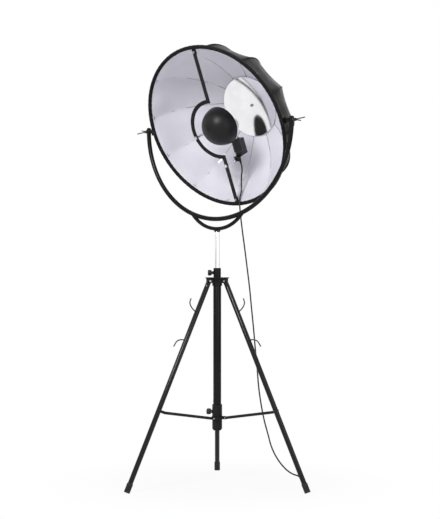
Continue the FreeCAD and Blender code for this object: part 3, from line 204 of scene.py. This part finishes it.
class Shader:
    """A Principled material with helpers to add its procedural detail."""

    def __init__(self, name, color, roughness, metallic=0.0, specular=0.5, slot=None):
        self.slot = slot or name
        self.material = bpy.data.materials.new(name + "_look")
        self.material.use_nodes = True
        self.tree = self.material.node_tree
        self.bsdf = self.tree.nodes["Principled BSDF"]
        self.color = color
        self.roughness = roughness
        self.bsdf.inputs["Base Color"].default_value = (*color, 1)
        self.bsdf.inputs["Metallic"].default_value = metallic
        self.bsdf.inputs["Roughness"].default_value = roughness
        self.bsdf.inputs["Specular IOR Level"].default_value = specular
        self.place = self.node("ShaderNodeTexCoord").outputs["Object"]
        self.height = None
        self.tint = None

    def node(self, kind, **settings):
        node = self.tree.nodes.new(kind)
        for key, value in settings.items():
            setattr(node, key, value)
        return node

    def link(self, output, socket):
        self.tree.links.new(output, socket)

    def noise(self, scale, detail=3.0):
        node = self.node("ShaderNodeTexNoise")
        node.inputs["Scale"].default_value = scale
        node.inputs["Detail"].default_value = detail
        self.link(self.place, node.inputs["Vector"])
        return node.outputs["Fac"]

    def spread(self, value, low, high, start=0.3, end=0.7):
        """A value mapped to a range."""
        node = self.node("ShaderNodeMapRange")
        for key, number in (("From Min", start), ("From Max", end), ("To Min", low), ("To Max", high)):
            node.inputs[key].default_value = number
        self.link(value, node.inputs["Value"])
        return node.outputs["Result"]

    def blend_color(self, factor, color):
        """Mixes the base colour toward another by a factor."""
        node = self.node("ShaderNodeMix", data_type="RGBA")
        self.link(factor, node.inputs[0])
        if self.tint is None:
            node.inputs[6].default_value = (*self.color, 1)
        else:
            self.link(self.tint, node.inputs[6])
        node.inputs[7].default_value = (*color, 1)
        self.tint = node.outputs[2]
        self.link(self.tint, self.bsdf.inputs["Base Color"])
        return self

    def mottled(self, scale, amount):
        """Soft variation of colour and gloss."""
        darker = tuple(channel * (1 - amount) for channel in self.color)
        self.blend_color(self.spread(self.noise(scale), 0, 1), darker)
        rough = self.spread(self.noise(scale * 2.3), self.roughness * 0.85, min(self.roughness * 1.2, 1))
        self.link(rough, self.bsdf.inputs["Roughness"])
        return self

    def worn(self, color, amount):
        """A lighter edge where paint or skin has rubbed."""
        point = self.node("ShaderNodeNewGeometry").outputs["Pointiness"]
        self.blend_color(self.spread(point, 0, amount, 0.53, 0.62), color)
        return self

    def bumped(self, height, strength, distance):
        """Relief from a height value."""
        node = self.node("ShaderNodeBump")
        node.inputs["Strength"].default_value = strength
        node.inputs["Distance"].default_value = distance
        self.link(height, node.inputs["Height"])
        if self.height is not None:
            self.link(self.height, node.inputs["Normal"])
        self.height = node.outputs["Normal"]
        self.link(self.height, self.bsdf.inputs["Normal"])
        return self

    def grained(self, scale, strength, distance=0.0004):
        """Fine grain, as of powder coat or moulded plastic."""
        return self.bumped(self.noise(scale, 2.0), strength, distance)

    def woven(self, pitch, strength, shade):
        """A plain weave: two sets of threads, with a trace of their shade."""
        threads = []
        for direction in ("X", "Z"):
            wave = self.node("ShaderNodeTexWave", wave_type="BANDS", bands_direction=direction)
            wave.inputs["Scale"].default_value = 1 / (pitch * 6.2832)
            wave.inputs["Distortion"].default_value = 0.6
            self.link(self.place, wave.inputs["Vector"])
            threads.append(wave.outputs["Fac"])
        cross = self.node("ShaderNodeMath", operation="MULTIPLY")
        self.link(threads[0], cross.inputs[0])
        self.link(threads[1], cross.inputs[1])
        self.blend_color(self.spread(cross.outputs[0], 0, 0.35, 0, 1), shade)
        return self.bumped(cross.outputs[0], strength, 0.0003)

    def coated(self, weight, roughness):
        """A clear coat."""
        self.bsdf.inputs["Coat Weight"].default_value = weight
        self.bsdf.inputs["Coat Roughness"].default_value = roughness
        return self

    def sheen(self, weight):
        """The soft edge light of fabric."""
        self.bsdf.inputs["Sheen Weight"].default_value = weight
        self.bsdf.inputs["Sheen Roughness"].default_value = 0.4
        return self


def brushed(name, color, roughness):
    """Bright metal with faint marks."""
    return Shader(name, color, roughness, 1.0).mottled(22, 0.08).grained(900, 0.05)


stand_paint = Shader("stand_paint", (0.005, 0.005, 0.006), 0.24, 0.0, 0.16)
stand_paint.mottled(16, 0.3).worn((0.05, 0.05, 0.05), 0.3).grained(1500, 0.06)
leg_paint = Shader("leg_paint", (0.004, 0.004, 0.005), 0.19, 0.0, 0.18)
leg_paint.mottled(12, 0.25).worn((0.05, 0.05, 0.055), 0.3).grained(1100, 0.03).coated(0.12, 0.1)
bowl_paint = Shader("bowl_paint", (0.004, 0.004, 0.005), 0.36, 0.0, 0.3)
bowl_paint.mottled(20, 0.3).grained(1400, 0.08)
knob_plastic = Shader("knob_plastic", (0.013, 0.013, 0.014), 0.5, 0.0, 0.35)
knob_plastic.mottled(60, 0.25).worn((0.06, 0.06, 0.06), 0.4).grained(1800, 0.25)
holder_plastic = Shader("holder_plastic", (0.016, 0.016, 0.017), 0.42, 0.0, 0.4)
holder_plastic.mottled(50, 0.25).worn((0.05, 0.05, 0.05), 0.3).grained(1500, 0.15)
black_steel = Shader("black_steel", (0.022, 0.022, 0.024), 0.33, 0.3, 0.5)
black_steel.mottled(70, 0.3).worn((0.2, 0.2, 0.2), 0.5).grained(1200, 0.1)
rubber = Shader("rubber", (0.018, 0.018, 0.018), 0.72, 0.0, 0.3)
rubber.mottled(45, 0.35).worn((0.07, 0.07, 0.07), 0.5).grained(900, 0.3)
cord_sheath = Shader("cord_sheath", (0.014, 0.014, 0.015), 0.5, 0.0, 0.35)
cord_sheath.mottled(30, 0.25).grained(1300, 0.12)
cover_fabric = Shader("cover_fabric", (0.008, 0.008, 0.010), 0.6, 0.0, 0.2)
cover_fabric.mottled(9, 0.35).woven(0.0011, 0.35, (0.022, 0.022, 0.025)).grained(60, 0.25, 0.002).sheen(0.03)
binding_fabric = Shader("binding_fabric", (0.005, 0.005, 0.006), 0.62, 0.0, 0.16, "cover_fabric")
binding_fabric.mottled(35, 0.3).woven(0.0009, 0.5, (0.016, 0.016, 0.018)).grained(150, 0.3, 0.001).sheen(0.02)
lining_fabric = Shader("lining_fabric", (0.86, 0.85, 0.92), 0.7, 0.0, 0.2)
lining_fabric.mottled(7, 0.07).woven(0.0011, 0.25, (0.70, 0.69, 0.78)).grained(45, 0.25, 0.002).sheen(0.1)
seam_thread = Shader("seam_thread", (0.30, 0.29, 0.35), 0.8, 0.0, 0.1, "lining_fabric")
seam_thread.mottled(120, 0.2).grained(2000, 0.4)
nylon = Shader("nylon", (0.70, 0.69, 0.64), 0.45).mottled(40, 0.08).grained(900, 0.1)
lamp_glass = Shader("lamp_glass", (0.92, 0.92, 0.90), 0.28).mottled(30, 0.04).grained(500, 0.04)
lamp_glass.bsdf.inputs["Transmission Weight"].default_value = 0.35

FINISHES = {
    "stand_paint": stand_paint, "leg_paint": leg_paint, "bowl_paint": bowl_paint,
    "knob_plastic": knob_plastic, "holder_plastic": holder_plastic, "black_steel": black_steel,
    "rubber": rubber, "cord_sheath": cord_sheath, "cover_fabric": cover_fabric,
    "lining_fabric": lining_fabric, "nylon": nylon, "lamp_glass": lamp_glass,
    "chrome": brushed("chrome", (0.86, 0.86, 0.88), 0.07),
    "dish_mirror": brushed("dish_mirror", (0.88, 0.88, 0.90), 0.07),
    "plated": brushed("plated", (0.55, 0.55, 0.56), 0.3),
    "rib_steel": brushed("rib_steel", (0.6, 0.6, 0.62), 0.32),
    "lamp_metal": brushed("lamp_metal", (0.74, 0.74, 0.73), 0.28),
}

for entry in frame["record"]["subparts"]:
    node = frame["nodes"][entry["node"]]
    if not node.material_slots:
        node.data.materials.append(None)
    for slot in node.material_slots:
        slot.material = FINISHES[entry["material_slot"]].material


# ---------------------------------------------------------------- mesh code


class Piece:
    """A mesh in the making: closed shells of rings, placed by a matrix."""

    def __init__(self):
        self.points = []
        self.faces = []

    def rings(self, rings, closed_ends=True, loop=False):
        """Adds a shell through rings of as many points."""
        first = len(self.points)
        count = len(rings[0])
        for ring in rings:
            self.points += [Vector(point) for point in ring]
        spans = len(rings) if loop else len(rings) - 1
        for level in range(spans):
            low = first + level * count
            high = first + (level + 1) % len(rings) * count
            for number in range(count):
                after = (number + 1) % count
                self.faces.append((low + number, low + after, high + after, high + number))
        if closed_ends and not loop:
            self.faces.append(tuple(range(first + count - 1, first - 1, -1)))
            self.faces.append(tuple(range(first + (len(rings) - 1) * count, first + len(rings) * count)))
        return self

    def lathe(self, profile, place, segments=48):
        """Adds a shell turned about +Z from a closed profile of (radius, height)."""
        rings = []
        for number in range(segments):
            angle = 2 * math.pi * number / segments
            along = (math.cos(angle), math.sin(angle))
            ring = []
            for radius, height in profile:
                reach = max(radius, 1e-5)
                ring.append(place @ Vector((reach * along[0], reach * along[1], height)))
            rings.append(ring)
        return self.rings(rings, loop=True)

    def bar(self, start, end, radius, place, edge=0.0006, segments=32):
        """Adds a round bar with eased edges."""
        start, end = Vector(start), Vector(end)
        length = (end - start).length
        spin = (end - start).to_track_quat("Z", "Y").to_matrix().to_4x4()
        profile = [(0, 0), (radius - edge, 0), (radius - edge * 0.3, edge * 0.3), (radius, edge)]
        profile += [(radius, length - edge), (radius - edge * 0.3, length - edge * 0.3)]
        profile += [(radius - edge, length)]
        profile += [(0, length)]
        return self.lathe(profile, place @ Matrix.Translation(start) @ spin, segments)

    def tube(self, path, radius, place=Matrix.Identity(4), sides=16, loop=False):
        """Adds a round tube along points."""
        path = [Vector(point) for point in path]
        count = len(path)
        normal = None
        rings = []
        for number, point in enumerate(path):
            before = path[(number - 1) % count] if loop or number else point
            after = path[(number + 1) % count] if loop or number < count - 1 else point
            along = (after - before).normalized()
            if normal is None:
                normal = along.orthogonal()
            normal = (normal - along * normal.dot(along)).normalized()
            over = along.cross(normal)
            reach = radius(number) if callable(radius) else radius
            ring = []
            for side in range(sides):
                angle = 2 * math.pi * side / sides
                out = normal * (reach * math.cos(angle)) + over * (reach * math.sin(angle))
                ring.append(place @ (point + out))
            rings.append(ring)
        return self.rings(rings, loop=loop)

    def box(self, low, high, place):
        """Adds a block."""
        rings = []
        for z in (low[2], high[2]):
            corners = [(low[0], low[1]), (high[0], low[1]), (high[0], high[1]), (low[0], high[1])]
            rings.append([place @ Vector((x, y, z)) for x, y in corners])
        return self.rings(rings)

    def finish(self, name, finish, bodies, replaced=(), bevel=0.0, sharp=38.0):
        """Makes the object, eases its edges, gives it its finish and hangs it on its body."""
        mesh = bpy.data.meshes.new(name)
        mesh.from_pydata(self.points, [], self.faces)
        shape = bmesh.new()
        shape.from_mesh(mesh)
        bmesh.ops.remove_doubles(shape, verts=shape.verts, dist=2e-5)
        bmesh.ops.dissolve_degenerate(shape, edges=shape.edges, dist=1e-6)
        bmesh.ops.recalc_face_normals(shape, faces=shape.faces)
        if bevel:
            edges = [edge for edge in shape.edges if edge.is_manifold and edge.calc_face_angle() > 0.6]
            bmesh.ops.bevel(shape, geom=edges, offset=bevel, segments=2, affect="EDGES", clamp_overlap=True)
        shape.to_mesh(mesh)
        shape.free()
        for polygon in mesh.polygons:
            polygon.use_smooth = True
        mesh.set_sharp_from_angle(angle=math.radians(sharp))
        mesh.materials.append(finish.material)
        piece = bpy.data.objects.new(name, mesh)
        bpy.context.scene.collection.objects.link(piece)
        if replaced:
            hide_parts(*replaced)
        if len(bodies) == 1:
            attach(piece, bodies[0])
        return piece


def softened(points, rounds=3):
    """A line of points with its corners cut again and again."""
    points = [Vector(point) for point in points]
    for _ in range(rounds):
        cut = [points[0]]
        for start, end in zip(points, points[1:]):
            cut += [start.lerp(end, 0.25), start.lerp(end, 0.75)]
        points = cut + [points[-1]]
    return points


# ---------------------------------------------------------------- cord


def cord_route():
    """The cord's route from the strain relief to the grommet."""
    leg = LEGS["right"] @ Vector((0, 0, -GROMMET_ON_LEG))
    heading = math.radians(GROMMET_HEADING)
    toward = Vector((math.cos(heading), math.sin(heading), 0))
    entry = leg + toward * GROMMET_REACH
    bends = [STAND @ Vector(place) for place in CORD_BENDS]
    return [HEAD @ Vector(RELIEF_TIP)] + bends + [entry + toward * CORD_LAST_RUN, entry]


def make_cords():
    """The cord's five stretches, each a tube along its part of the route; a stretch with one body hangs on
    that body.
    """
    route = cord_route()
    first = 0
    for name, last, length, bodies in CORD_STRETCHES:
        start = route[0] if first == 0 else (route[first] + route[first + 1]) / 2
        end = route[-1] if last is None else (route[last] + route[last + 1]) / 2
        stop = len(route) - 2 if last is None else last
        control = [start] + route[first + 1:stop + 1] + [end]
        first = last
        data = bpy.data.curves.new(name + "_line", "CURVE")
        data.dimensions = "3D"
        data.resolution_u = 12
        spline = data.splines.new("NURBS")
        spline.points.add(len(control) - 1)
        for point, place in zip(spline.points, control):
            point.co = (*place, 1)
        spline.order_u = 3
        spline.use_endpoint_u = True
        line = bpy.data.objects.new(name + "_line", data)
        bpy.context.scene.collection.objects.link(line)
        drawn = bpy.data.meshes.new_from_object(line)
        path = [vertex.co.copy() for vertex in drawn.vertices]
        bpy.data.objects.remove(line)
        bpy.data.meshes.remove(drawn)
        if (path[0] - start).length > (path[-1] - start).length:
            path.reverse()
        piece = Piece().tube(path, CORD_OD / 2, sides=12).finish(name + "_lead", cord_sheath, bodies, (name,))
        if len(bodies) == 2:
            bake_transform(piece)


make_cords()


# ---------------------------------------------------------------- shade


def fabric_point(angle, around, inset, lift=0.0):
    """A point of the sewn shade: profile angle from the rim, angle around from up, and inset."""
    slope = math.radians(angle)
    radius = (HOOP_RADIUS - inset) * math.cos(slope)
    depth = (SHADE_DEPTH - inset) * math.sin(slope)
    share = ((around - FIRST_SEAM) * PANELS / 360) % 1
    half = math.pi / PANELS
    flat = math.cos(half) / math.cos((2 * share - 1) * half)
    pulled = flat - PANEL_PULL * (1 - (2 * share - 1) ** 2)
    tension = 1 - math.exp(-depth / PULL_DEPTH)
    reach = radius * (1 + (pulled - 1) * tension) + lift * math.cos(slope)
    depth += lift * math.sin(slope)
    bearing = math.radians(around)
    return Vector((reach * math.sin(bearing), -reach * math.cos(bearing), depth))


def pucker(angle, around):
    """The small tension folds that run off the seams."""
    share = ((around - FIRST_SEAM) * PANELS / 360) % 1
    near = math.exp(-min(share, 1 - share) / 0.16)
    number = math.floor((around - FIRST_SEAM) * PANELS / 360)
    wave = math.sin(angle * 0.9 + number * 2.1) + 0.6 * math.sin(angle * 1.9 + number * 1.3 + share * 6)
    return 0.0007 * near * wave * min(angle / 12, 1)


def sewn_dome(name, finish, inset, top, node, fold):
    """One fabric of the shade, closed over its thickness, with its panels pulled in between seams."""
    steps = PANELS * 14
    levels = 46
    skins = []
    for inward in (0.0, FABRIC):
        rings = []
        for level in range(levels + 1):
            angle = 0.4 + (top - 0.4) * (level / levels) ** 0.9
            rings.append([
                DEPTH @ fabric_point(angle, 360 * step / steps, inset + inward,
                                     pucker(angle, 360 * step / steps) * fold)
                for step in range(steps)
            ])
        skins.append(rings)
    loop = skins[0] + skins[1][::-1]
    return Piece().rings(loop, loop=True).finish(name, finish, ("head",), (node,), sharp=60)


def seam_lines(name, finish, inset, radius, first, last):
    """Twelve seams, as thin cords that follow the ribs."""
    piece = Piece()
    for seam in range(PANELS):
        around = FIRST_SEAM + 360 * seam / PANELS
        path = [fabric_point(first + (last - first) * step / 30, around, inset) for step in range(31)]
        piece.tube(path, radius, DEPTH, sides=8)
    return piece.finish(name, finish, ("head",))


def ring_path(radius, depth, steps=180):
    """A circle across the shade."""
    return [
        (radius * math.cos(2 * math.pi * step / steps), radius * math.sin(2 * math.pi * step / steps), depth)
        for step in range(steps)
    ]


def make_shade():
    """Cover, lining, seams, binding and the hoop in it."""
    cover = sewn_dome("shade_outer", cover_fabric, 0.0, 84.0, "shade_cover", 1.0)
    lining = sewn_dome("shade_inner", lining_fabric, LINING_INSET, 84.0, "shade_lining", 0.55)
    seam_lines("inner_seams", seam_thread, LINING_INSET + FABRIC + 0.0003, 0.0012, 3.0, 80.0)
    seam_lines("outer_seams", binding_fabric, -0.0004, 0.0022, 1.0, 83.0)
    sleeve = Piece()
    steps = 360
    path = ring_path(HOOP_RADIUS, 0, steps)
    radii = [BINDING_RADIUS + BINDING_RUFFLE * math.sin(number * 1.7) for number in range(steps)]
    sleeve.tube(path, radii.__getitem__, DEPTH, sides=14, loop=True)
    sleeve.finish("rim_binding", binding_fabric, ("head",), ("rim_hoop",))
    piping = Piece().tube(ring_path(PIPING_RING, PIPING_DEPTH), PIPING_RADIUS, DEPTH, sides=8, loop=True)
    piping.finish("rim_piping", binding_fabric, ("head",))


make_shade()


# ---------------------------------------------------------------- head


def arc_points(radius, start, end, steps):
    """Points of an arc in the XZ plane, from straight down by degrees toward +X."""
    points = []
    for step in range(steps + 1):
        angle = math.radians(start + (end - start) * step / steps)
        points.append(Vector((radius * math.sin(angle), 0, -radius * math.cos(angle))))
    return points


def make_dish():
    """The mirror dish, with a rolled rim."""
    reach = math.asin(DISH_RADIUS / DISH_SPHERE)
    profile = []
    for side, inset in ((1, 0.0), (-1, DISH_WALL)):
        steps = range(25)[::side]
        for step in steps:
            angle = reach * step / 24
            depth = DISH_RIM_DEPTH + DISH_SPHERE * (math.cos(angle) - math.cos(reach)) - inset
            profile.append((DISH_SPHERE * math.sin(angle) if step else DISH_HOLE, depth))
    piece = Piece().lathe(profile, DEPTH, 96)
    piece.finish("mirror_dish", FINISHES["dish_mirror"], ("head",), ("dish",))
    rim = Piece().tube(ring_path(DISH_RADIUS, DISH_RIM_DEPTH, 128), DISH_BEAD, DEPTH, sides=8, loop=True)
    rim.finish("mirror_dish_rim", FINISHES["dish_mirror"], ("head",))


def make_bowl():
    """The black bowl with its lip."""
    lip = BOWL_LIP
    profile = [(BOWL_INNER, -0.0015), (lip - 0.0006, -0.0015)]
    profile += [(lip, -0.0008), (lip, 0.0008), (lip - 0.0006, 0.0015)]
    for step in range(2, 33):
        angle = math.pi / 2 * step / 32
        profile.append((BOWL_RADIUS * math.cos(angle), BOWL_RADIUS * math.sin(angle)))
    for step in range(32, 1, -1):
        angle = math.pi / 2 * step / 32
        profile.append((BOWL_INNER * math.cos(angle), BOWL_INNER * math.sin(angle)))
    Piece().lathe(profile, BOWL, 72).finish("bowl_dome", bowl_paint, ("head",), ("bowl",), sharp=50)


def make_bar():
    """The flat bar across the mouth with its half-round loop."""
    half, thick = BAR_HALF, BAR_HALF_THICK
    centre, mid = LOOP_CENTRE, LOOP_RADIUS
    place = HEAD @ shift(0, -HOOP_AHEAD, 0)
    piece = Piece()
    piece.box((-half, -thick, centre + mid - half), (half, thick, BAR_END), place)
    piece.box((-half, -thick, -BAR_END), (half, thick, centre - mid + half), place)
    rings = []
    for step in range(65):
        angle = math.radians(90 + 180 * step / 64)
        ring = []
        section = [(mid - half, -thick), (mid + half, -thick), (mid + half, thick), (mid - half, thick)]
        for radius, depth in section:
            ring.append(place @ Vector((radius * math.cos(angle), depth, centre + radius * math.sin(angle))))
        rings.append(ring)
    piece.rings(rings)
    piece.finish("mouth_bar", stand_paint, ("head",), ("cross_bar",), bevel=0.0005)


def make_rods():
    """The two bright rods with their ends eased."""
    piece = Piece()
    for across, up in ROD_SPOTS:
        start = (across, -HOOP_AHEAD - ROD_FRONT, up)
        piece.bar(start, (across, ROD_BACK - HOOP_AHEAD, up), ROD_RADIUS, HEAD)
    piece.finish("bright_rods", FINISHES["chrome"], ("head",), ("standoff_rods",))


def make_holder():
    """Lampholder, terminal housing, lamp and strain relief."""
    base, top = -0.156, -0.084
    body = 0.0185
    profile = [(0, base), (body - 0.0045, base), (body - 0.004, base + 0.0006), (body - 0.003, base + 0.016)]
    profile += [(body - 0.0005, base + 0.0175), (body, base + 0.018)]
    for rib in range(5):
        height = base + 0.026 + rib * 0.007
        profile += [(body, height), (body - 0.0008, height + 0.0008), (body - 0.0008, height + 0.0024)]
        profile += [(body, height + 0.0032)]
    profile += [(body, top - 0.008), (body - 0.0018, top - 0.0006), (body - 0.0026, top), (0.014, top)]
    profile += [(0.014, base + 0.03), (0, base + 0.03)]
    Piece().lathe(profile, HOLDER, 40).finish("holder_body", holder_plastic, ("head",), ("lamp_holder",))
    box = Piece().box((-0.015, 0.0, base), (0.015, 0.037, -0.093), HOLDER)
    box.finish("terminal_housing", holder_plastic, ("head",), ("terminal_box",), bevel=0.0018)
    radius, foot = 0.030, top + 0.008
    centre = foot + 0.078 - radius
    glass = [(0, foot), (0.013, foot), (0.0134, foot + 0.006), (0.0165, foot + 0.014)]
    for step in range(21):
        angle = math.radians(-50 + 140 * step / 20)
        glass.append((radius * math.cos(angle), centre + radius * math.sin(angle)))
    Piece().lathe(glass, HOLDER, 48).finish("lamp_bulb", lamp_glass, ("head",), ("lamp_glass",), sharp=60)
    sleeve_place = HEAD @ shift(0, 0.078, 0)
    tip, shoulder, neck = -0.191, -0.1585, 0.006
    sleeve = [(0, tip), (0.0038, tip), (0.004, tip + 0.0005)]
    for ring in range(6):
        height = tip + 0.003 + ring * 0.0045
        reach = 0.0042 + 0.0005 * ring
        sleeve += [(reach, height), (reach - 0.0007, height + 0.0008), (reach - 0.0007, height + 0.002)]
        sleeve += [(reach + 0.0002, height + 0.0028)]
    sleeve += [(neck + 0.0015, shoulder - 0.003), (neck + 0.0015, shoulder)]
    sleeve += [(neck, shoulder), (neck, base), (0, base)]
    Piece().lathe(sleeve, sleeve_place, 24).finish("cord_sleeve", rubber, ("head",), ("strain_relief",))


make_dish()
make_bowl()
make_bar()
make_rods()
make_holder()


# ---------------------------------------------------------------- fork


def make_fork():
    """The half-round fork with bushed ends, and the arc that carries it."""
    path = [Vector((-YOKE_RADIUS, 0, YOKE_RISE))] + arc_points(YOKE_RADIUS, -90, 90, 96)
    path.append(Vector((YOKE_RADIUS, 0, YOKE_RISE)))
    fork = Piece().tube(path, FORK_TUBE, YOKE, sides=20)
    for side in (-1, 1):
        inner, outer = side * (YOKE_RADIUS - EYE_HALF), side * (YOKE_RADIUS + EYE_HALF)
        fork.bar((inner, 0, 0), (outer, 0, 0), EYE_RADIUS, YOKE)
        fork.lathe([(0, 0), (FORK_TUBE, 0), (0.0082, 0.0018), (0.006, 0.0032), (0, 0.004)],
                   YOKE @ shift(side * YOKE_RADIUS, 0, YOKE_RISE - 0.0002), 20)
    fork.finish("fork_tube", stand_paint, ("yoke",), ("yoke_tube",))
    path = [point + Vector((0, 0, BRACE_CENTRE))
            for point in arc_points(BRACE_RADIUS, -BRACE_HALF_ANGLE, BRACE_HALF_ANGLE, 48)]
    brace = Piece().tube(path, BRACE_TUBE, YOKE, sides=20)
    for side in (-1, 1):
        middle = path[0] if side < 0 else path[-1]
        toward = middle.normalized()
        across = Vector((toward.z, 0, -toward.x))
        root = middle - toward * WELD_SETBACK
        weld = []
        for step in range(25):
            angle = 2 * math.pi * step / 24
            side_step = Vector((0, WELD_HALF * math.sin(angle), 0))
            weld.append(root + across * (WELD_REACH * math.cos(angle)) + side_step)
        brace.tube(weld, WELD_RADIUS, YOKE, sides=6)
    brace.finish("fork_brace", stand_paint, ("yoke",), ("yoke_brace",))


make_fork()


# ---------------------------------------------------------------- stand


def make_stand():
    """Column, mast, legs, feet and cord hooks."""
    column = Piece().bar((0, 0, 0.222), (0, 0, 0.823), 0.016, STAND, segments=48)
    column.finish("column_tube", stand_paint, ("stand",), ("column",))
    mast = Piece().bar((0, 0, 0.480), (0, 0, 1.008), 0.0095, STAND, segments=48)
    mast.finish("mast_tube", FINISHES["chrome"], ("mast",), ("mast",))
    for name, place in LEGS.items():
        body = ("leg_" + name,)
        tube = Piece().bar((0, 0, -0.026), (0, 0, 0.003 - LEG_LENGTH), 0.010, place)
        tube.bar((0, 0, -0.551), (0, 0.0105, -0.551), 0.007, place, segments=24)
        tube.finish(f"leg_{name}_round", leg_paint, body, (f"leg_{name}_tube",))
        profile = [(0, -LEG_LENGTH), (0.0112, -LEG_LENGTH), (0.012, -LEG_LENGTH + 0.0008)]
        for ring in range(3):
            height = -LEG_LENGTH + 0.010 + ring * 0.006
            profile += [(0.012, height), (0.0114, height + 0.001)]
            profile += [(0.0114, height + 0.0022), (0.012, height + 0.0032)]
        profile += [(0.012, -LEG_LENGTH + 0.0365), (0.0108, -LEG_LENGTH + 0.038), (0, -LEG_LENGTH + 0.038)]
        foot = Piece().lathe(profile, place, 40)
        for point in foot.points:
            point.z = max(point.z, 0)
        foot.finish(f"leg_{name}_cap", rubber, body, (f"leg_{name}_foot",))
        hooks = Piece()
        for at, route in ((0.135, ((0.009, 0), (0.031, 0.008), (0.046, 0.021), (0.047, 0.040))),
                          (0.256, ((0.009, 0), (0.024, -0.005), (0.038, -0.017), (0.041, -0.042)))):
            line = softened([(out, 0, rise - at) for out, rise in route])
            count = len(line)
            radii = [HOOK_WIRE] * (count - 1) + [HOOK_END]
            hooks.tube(line, radii.__getitem__, place, sides=12)
        hooks.finish(f"leg_{name}_wires", black_steel, body, (f"leg_{name}_hooks",))


make_stand()


# ---------------------------------------------------------------- stage and light


def ray_factor(tree, share):
    """1 for rays that see the background directly or in metal or glass, times a share."""
    path = tree.nodes.new("ShaderNodeLightPath")
    total = path.outputs["Is Camera Ray"]
    for ray in ("Is Glossy Ray", "Is Transmission Ray"):
        largest = tree.nodes.new("ShaderNodeMath")
        largest.operation = "MAXIMUM"
        tree.links.new(total, largest.inputs[0])
        tree.links.new(path.outputs[ray], largest.inputs[1])
        total = largest.outputs[0]
    scaled = tree.nodes.new("ShaderNodeMath")
    scaled.operation = "MULTIPLY"
    tree.links.new(total, scaled.inputs[0])
    scaled.inputs[1].default_value = share
    return scaled.outputs[0]


SHADOW_NEAR = 0.25
SHADOW_FAR = 0.75
# Black boards beside the lamp, outside the picture: what its bright metal shows as dark
FLAG_POINTS = 48
# Each board: its middle, its half width along Y and its half height
FLAGS = [
    ("flag_left", (-2.6, -0.15, 0.95), 0.42, 0.62),
    ("flag_right", (2.4, -0.5, 1.3), 0.9, 1.0),
]


def make_flags():
    """The black oval boards, each upright and facing the lamp."""
    for name, middle, half_width, half_height in FLAGS:
        material = bpy.data.materials.new(name)
        material.use_nodes = True
        shader = material.node_tree.nodes["Principled BSDF"]
        shader.inputs["Base Color"].default_value = (0.01, 0.01, 0.01, 1)
        shader.inputs["Roughness"].default_value = 0.9
        edge = []
        for step in range(FLAG_POINTS):
            angle = 2 * math.pi * step / FLAG_POINTS
            across, up = half_width * math.cos(angle), half_height * math.sin(angle)
            edge.append((middle[0], middle[1] + across, middle[2] + up))
        mesh = bpy.data.meshes.new(name)
        mesh.from_pydata(edge, [], [tuple(range(FLAG_POINTS))])
        mesh.materials.append(material)
        flag = bpy.data.objects.new(name, mesh)
        bpy.context.scene.collection.objects.link(flag)
        flag.visible_camera = False


def make_floor():
    """A white floor that keeps a trace of the lamp's shadow."""
    material = bpy.data.materials.new("floor")
    material.use_nodes = True
    tree = material.node_tree
    tree.nodes.clear()
    diffuse = tree.nodes.new("ShaderNodeBsdfDiffuse")
    diffuse.inputs["Color"].default_value = (0.9, 0.9, 0.9, 1)
    glow = tree.nodes.new("ShaderNodeEmission")
    mixed = tree.nodes.new("ShaderNodeMixShader")
    output = tree.nodes.new("ShaderNodeOutputMaterial")
    place = tree.nodes.new("ShaderNodeTexCoord").outputs["Object"]
    away = tree.nodes.new("ShaderNodeVectorMath")
    away.operation = "LENGTH"
    tree.links.new(place, away.inputs[0])
    fade = tree.nodes.new("ShaderNodeMapRange")
    tree.links.new(away.outputs["Value"], fade.inputs["Value"])
    fade.inputs["From Min"].default_value = SHADOW_NEAR
    fade.inputs["From Max"].default_value = SHADOW_FAR
    fade.inputs["To Min"].default_value = 0.90
    fade.inputs["To Max"].default_value = 1.0
    kept = tree.nodes.new("ShaderNodeMath")
    kept.operation = "MULTIPLY"
    tree.links.new(ray_factor(tree, 1.0), kept.inputs[0])
    tree.links.new(fade.outputs["Result"], kept.inputs[1])
    tree.links.new(kept.outputs[0], mixed.inputs[0])
    tree.links.new(diffuse.outputs[0], mixed.inputs[1])
    tree.links.new(glow.outputs[0], mixed.inputs[2])
    tree.links.new(mixed.outputs[0], output.inputs["Surface"])
    mesh = bpy.data.meshes.new("floor")
    reach = 40
    mesh.from_pydata([(-reach, -reach, 0), (reach, -reach, 0), (reach, reach, 0), (-reach, reach, 0)], [],
                     [(0, 1, 2, 3)])
    mesh.materials.append(material)
    floor = bpy.data.objects.new("floor", mesh)
    bpy.context.scene.collection.objects.link(floor)


def make_world():
    """White to the camera and in reflections, plain soft light on the lamp."""
    world = bpy.data.worlds.new("studio")
    bpy.context.scene.world = world
    world.use_nodes = True
    tree = world.node_tree
    background = tree.nodes["Background"]
    background.inputs["Color"].default_value = (1, 1, 1, 1)
    strength = tree.nodes.new("ShaderNodeMapRange")
    tree.links.new(ray_factor(tree, 1.0), strength.inputs["Value"])
    strength.inputs["To Min"].default_value = 0.36
    strength.inputs["To Max"].default_value = 1.0
    tree.links.new(strength.outputs["Result"], background.inputs["Strength"])


def area_light(name, place, target, size, power):
    """A soft lamp aimed at a point."""
    data = bpy.data.lights.new(name, "AREA")
    data.size = size
    data.energy = power
    light = bpy.data.objects.new(name, data)
    light.location = place
    aim = Vector(target) - Vector(place)
    light.rotation_euler = aim.to_track_quat("-Z", "Y").to_euler()
    bpy.context.scene.collection.objects.link(light)


make_floor()
make_flags()
make_world()
area_light("key", (-2.4, -4.6, 4.0), (0, 0, 1.1), 1.6, 190)
area_light("fill", (3.8, -3.4, 2.2), (0, 0, 1.0), 2.6, 42)
area_light("back", (1.5, 4.4, 3.4), (0, 0, 1.2), 2.4, 55)
bpy.context.scene.view_settings.view_transform = "Standard"
